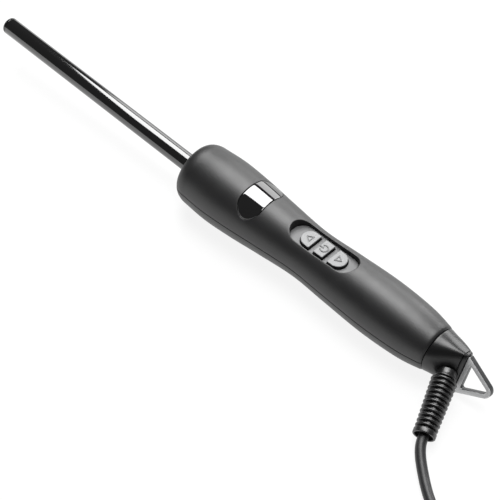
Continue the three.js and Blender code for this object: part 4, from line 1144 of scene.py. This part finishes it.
def add_loop():
    base = TAIL_END_X - GAP / 2
    steps = 14
    outline = rounded(loop_corners(0, base), steps)
    hole = rounded(loop_corners(LOOP_BAR, base - LOOP_BAR), steps)
    shape = slab(outline, -LOOP_THICKNESS / 2, LOOP_THICKNESS / 2, hole)
    centred = TAIL @ Matrix.Translation((0, 0, LOOP_CENTRE_Z))
    upright = centred @ Matrix.Rotation(math.pi / 2, 4, "X")
    loop = piece("loop_ring", shape, upright, ON_TAIL, "loop_silver", ["hanging_loop"], bevel=0.35)
    side = (upright.to_3x3() @ Vector((0, 0, 1))).normalized()
    second_look(loop, "loop_edge", lambda face: abs(face.normal.dot(side)) < 0.5)
    tongue = box(
        (TAIL_END_X - GAP, -TONGUE_THICKNESS / 2, -TONGUE_HALF),
        (TAIL_END_X - GAP + TONGUE_LENGTH, TONGUE_THICKNESS / 2, TONGUE_HALF),
    )
    piece(
        "loop_tongue", tongue, TAIL, ON_TAIL, "loop_silver", look="loop_edge", bevel=0.2,
        cutters=[pin_hole()],
    )


# ---------------------------------------- strain relief
def relief_profile():
    bore = CORD_R + 0.06
    mouth_r = RELIEF_END_R - RELIEF_MOUTH_WALL
    steps = 12
    points = [
        (RELIEF_START, bore),
        (RELIEF_START, RELIEF_PLUG_R),
        (RELIEF_PLUG_END, RELIEF_PLUG_R),
    ]
    points += rounded(
        [
            (RELIEF_PLUG_END, RELIEF_PLUG_R, 0),
            (RELIEF_PLUG_END, RELIEF_START_R, 0.3),
            (RELIEF_FLARE_START, RELIEF_START_R, 1.5),
            (RELIEF_RINGS_START, RELIEF_FLARE_R, 0.35),
            (RELIEF_RINGS_START, RELIEF_FLARE_R - FIRST_GROOVE, 0),
        ],
        5,
        closed=False,
    )[1:]
    for i in range(RELIEF_RINGS):
        start = RELIEF_RINGS_START + (i + 1 - RIB_SHARE) * RELIEF_PITCH
        top = RELIEF_RIB_R + (RELIEF_END_R - RELIEF_RIB_R) * i / (RELIEF_RINGS - 1)
        for k in range(steps + 1):
            across = 2 * k / steps - 1
            arch = (1 - abs(across) ** RIB_ROUNDNESS) ** (1 / RIB_ROUNDNESS)
            points.append((start + RIB_SHARE * RELIEF_PITCH * k / steps, top + RIB_HEIGHT * (arch - 1)))
    end_start = RELIEF_RINGS_START + (RELIEF_RINGS + 1 - RIB_SHARE) * RELIEF_PITCH
    points += rounded(
        [
            (end_start, RELIEF_END_R - RIB_HEIGHT, 0),
            (end_start, RELIEF_END_R, 0.35),
            (RELIEF_END, RELIEF_END_R, 0.45),
            (RELIEF_END, mouth_r, 0.2),
            (RELIEF_END - RELIEF_MOUTH_DEPTH, mouth_r - 0.3, 0.3),
            (RELIEF_END - RELIEF_MOUTH_DEPTH, bore, 0),
        ],
        5,
        closed=False,
    )
    return points


def add_relief():
    shape = lathe(relief_profile(), RELIEF_SEGMENTS)
    return piece("ribbed_relief", shape, RELIEF, ON_TAIL, "black_rubber", ["strain_relief"])


# ---------------------------------------- cord, coil and plug
def coil_route():
    """The coil's centre line: a layer wound inwards, a step up, and a layer wound outwards."""
    wound = COIL_COLUMNS - 1
    outer = COIL_MEAN_R + wound * COIL_PITCH / 2
    low = COIL_BASE_Z + COIL_PITCH / 2
    last_turn = ((COIL_LEAVING - COIL_ENTRY) / TAU - COIL_INNER_TURN) % 1
    turns = wound * COIL_LAYERS + COIL_INNER_TURN + last_turn
    count = round(turns * COIL_POINTS_PER_TURN)
    points = []
    for k in range(count + 1):
        turn = turns * k / count
        inwards = min(turn, wound)
        outwards_turn = min(max(turn - wound - COIL_INNER_TURN, 0), wound)
        step = min(max((turn - wound) / COIL_INNER_TURN, 0), 1)
        step = step * step * (3 - 2 * step)
        radius = outer - COIL_PITCH * (inwards - outwards_turn)
        angle = COIL_ENTRY + TAU * turn
        x = COIL_CENTRE[0] + radius * math.cos(angle)
        y = COIL_CENTRE[1] + radius * math.sin(angle)
        points.append((x, y, low + COIL_PITCH * step))
    return points


def add_cord():
    hidden = [RELIEF @ Vector((s, 0, 0)) for s in CORD_IN_RELIEF]
    plug_end = PLUG @ Vector((PLUG_RELIEF_LENGTH, 0, PLUG_HEIGHT / 2))
    route = [*hidden, *CORD_ROUTE, *coil_route(), *PLUG_LEAD_ROUTE, plug_end]
    data = bpy.data.curves.new("mains_cord", "CURVE")
    data.dimensions = "3D"
    data.resolution_u = 5
    data.bevel_depth = CORD_R * MM
    data.bevel_resolution = 6
    data.use_fill_caps = True
    line = data.splines.new("BEZIER")
    line.bezier_points.add(len(route) - 1)
    for point, place in zip(line.bezier_points, route):
        point.co = Vector(place) * MM
        point.handle_left_type = point.handle_right_type = "AUTO"
    cord = new_object("mains_cord", data)
    data.materials.append(LOOKS["cord_sheath"])
    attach(cord, ON_TAIL)
    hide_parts("power_cord", "cord_coil", "plug_lead")
    return cord, hidden[0] * MM


def add_tie():
    half_width = COIL_COLUMNS * COIL_PITCH / 2 + TIE_ROOM
    top = COIL_BASE_Z + COIL_LAYERS * COIL_PITCH + TIE_ROOM
    near, far = COIL_MEAN_R - half_width - TIE_SAG, COIL_MEAN_R + half_width
    low, thick = TIE_FLOOR_Z, TIE_THICKNESS
    outer = [(near - thick, low), (far + thick, low)]
    outer += [(far + thick, top + thick), (near - thick, top + thick)]
    inner = [(near, low + thick), (far, low + thick), (far, top), (near, top)]
    outline = rounded([(*c, 2.4) for c in outer], 8)
    hole = rounded([(*c, 1.9) for c in inner], 8)
    shape = slab(outline, -TIE_WIDTH / 2, TIE_WIDTH / 2, hole)
    return piece("coil_strap", shape, COIL_TIE, ON_TAIL, "tie_strap", ["cord_tie"], bevel=0.15)


def plug_outline():
    neck, wide = PLUG_NECK_HALF_WIDTH, PLUG_HALF_WIDTH
    steps = 14
    side = []
    for k in range(steps + 1):
        t = k / steps
        ease = t * t * (3 - 2 * t)
        side.append((PLUG_SHOULDER * t, neck + (wide - neck) * ease))
    corners = [(PLUG_SHOULDER, wide, 0), (PLUG_LENGTH, wide, 1.2), (PLUG_LENGTH, 0, 0)]
    half = side + rounded(corners, 5, closed=False)[1:-1]
    return half + [(x, -y) for x, y in reversed(half)]


def add_plug():
    middle = PLUG_HEIGHT / 2
    body_start = PLUG_RELIEF_LENGTH + GAP
    face = body_start + PLUG_LENGTH
    shifted = PLUG @ Matrix.Translation((body_start, 0, 0))
    raised = PLUG @ Matrix.Translation((0, 0, middle))
    shell = slab(plug_outline(), 0, PLUG_HEIGHT)
    boot = turned(
        [
            (0, 0, 0),
            (0, PLUG_RELIEF_START_R, 0.5),
            (PLUG_RELIEF_LENGTH, PLUG_RELIEF_END_R, 0.1),
            (PLUG_RELIEF_LENGTH, 0, 0),
        ],
        4,
        PLUG_SEGMENTS,
    )
    pieces = [
        piece("plug_shell", shell, shifted, ON_TAIL, "plug_plastic", ["plug_body"], bevel=1.6),
        piece("plug_boot", boot, raised, ON_TAIL, "black_rubber", ["plug_strain_relief"]),
    ]
    for name, y in [("live", PIN_SPACING / 2), ("neutral", -PIN_SPACING / 2)]:
        pin = turned(
            [
                (face - PIN_BURIED, 0, 0),
                (face - PIN_BURIED, PIN_R, 0.2),
                (face + PIN_EXPOSED, PIN_R, 1.1),
                (face + PIN_EXPOSED, 0, 0),
            ],
            8,
            PLUG_SEGMENTS,
        )
        place = raised @ Matrix.Translation((0, y, 0))
        pieces.append(piece("pin_" + name, pin, place, ON_TAIL, "steel", ["plug_pin_" + name]))
    return pieces


def declare_cord():
    cord, exit_point = add_cord()
    going = [add_relief(), add_tie(), *add_plug()]
    tuple(exit_point)


# ---------------------------------------- CAD nodes that stay
def dress_nodes():
    """Every CAD node gets its slot's look, which shows on those that aren't replaced."""
    slots = {part["node"]: part["material_slot"] for part in frame["record"]["subparts"]}
    for name, node in frame["nodes"].items():
        look = LOOKS[slots[name]]
        if not node.material_slots:
            node.data.materials.append(look)
        for material_slot in node.material_slots:
            material_slot.material = look


add_camera()
declare_cord()
add_studio()
dress_nodes()
add_shells()
add_window()
add_bezel()
add_keys()
add_barrel()
add_collar()
add_tail()
add_loop()
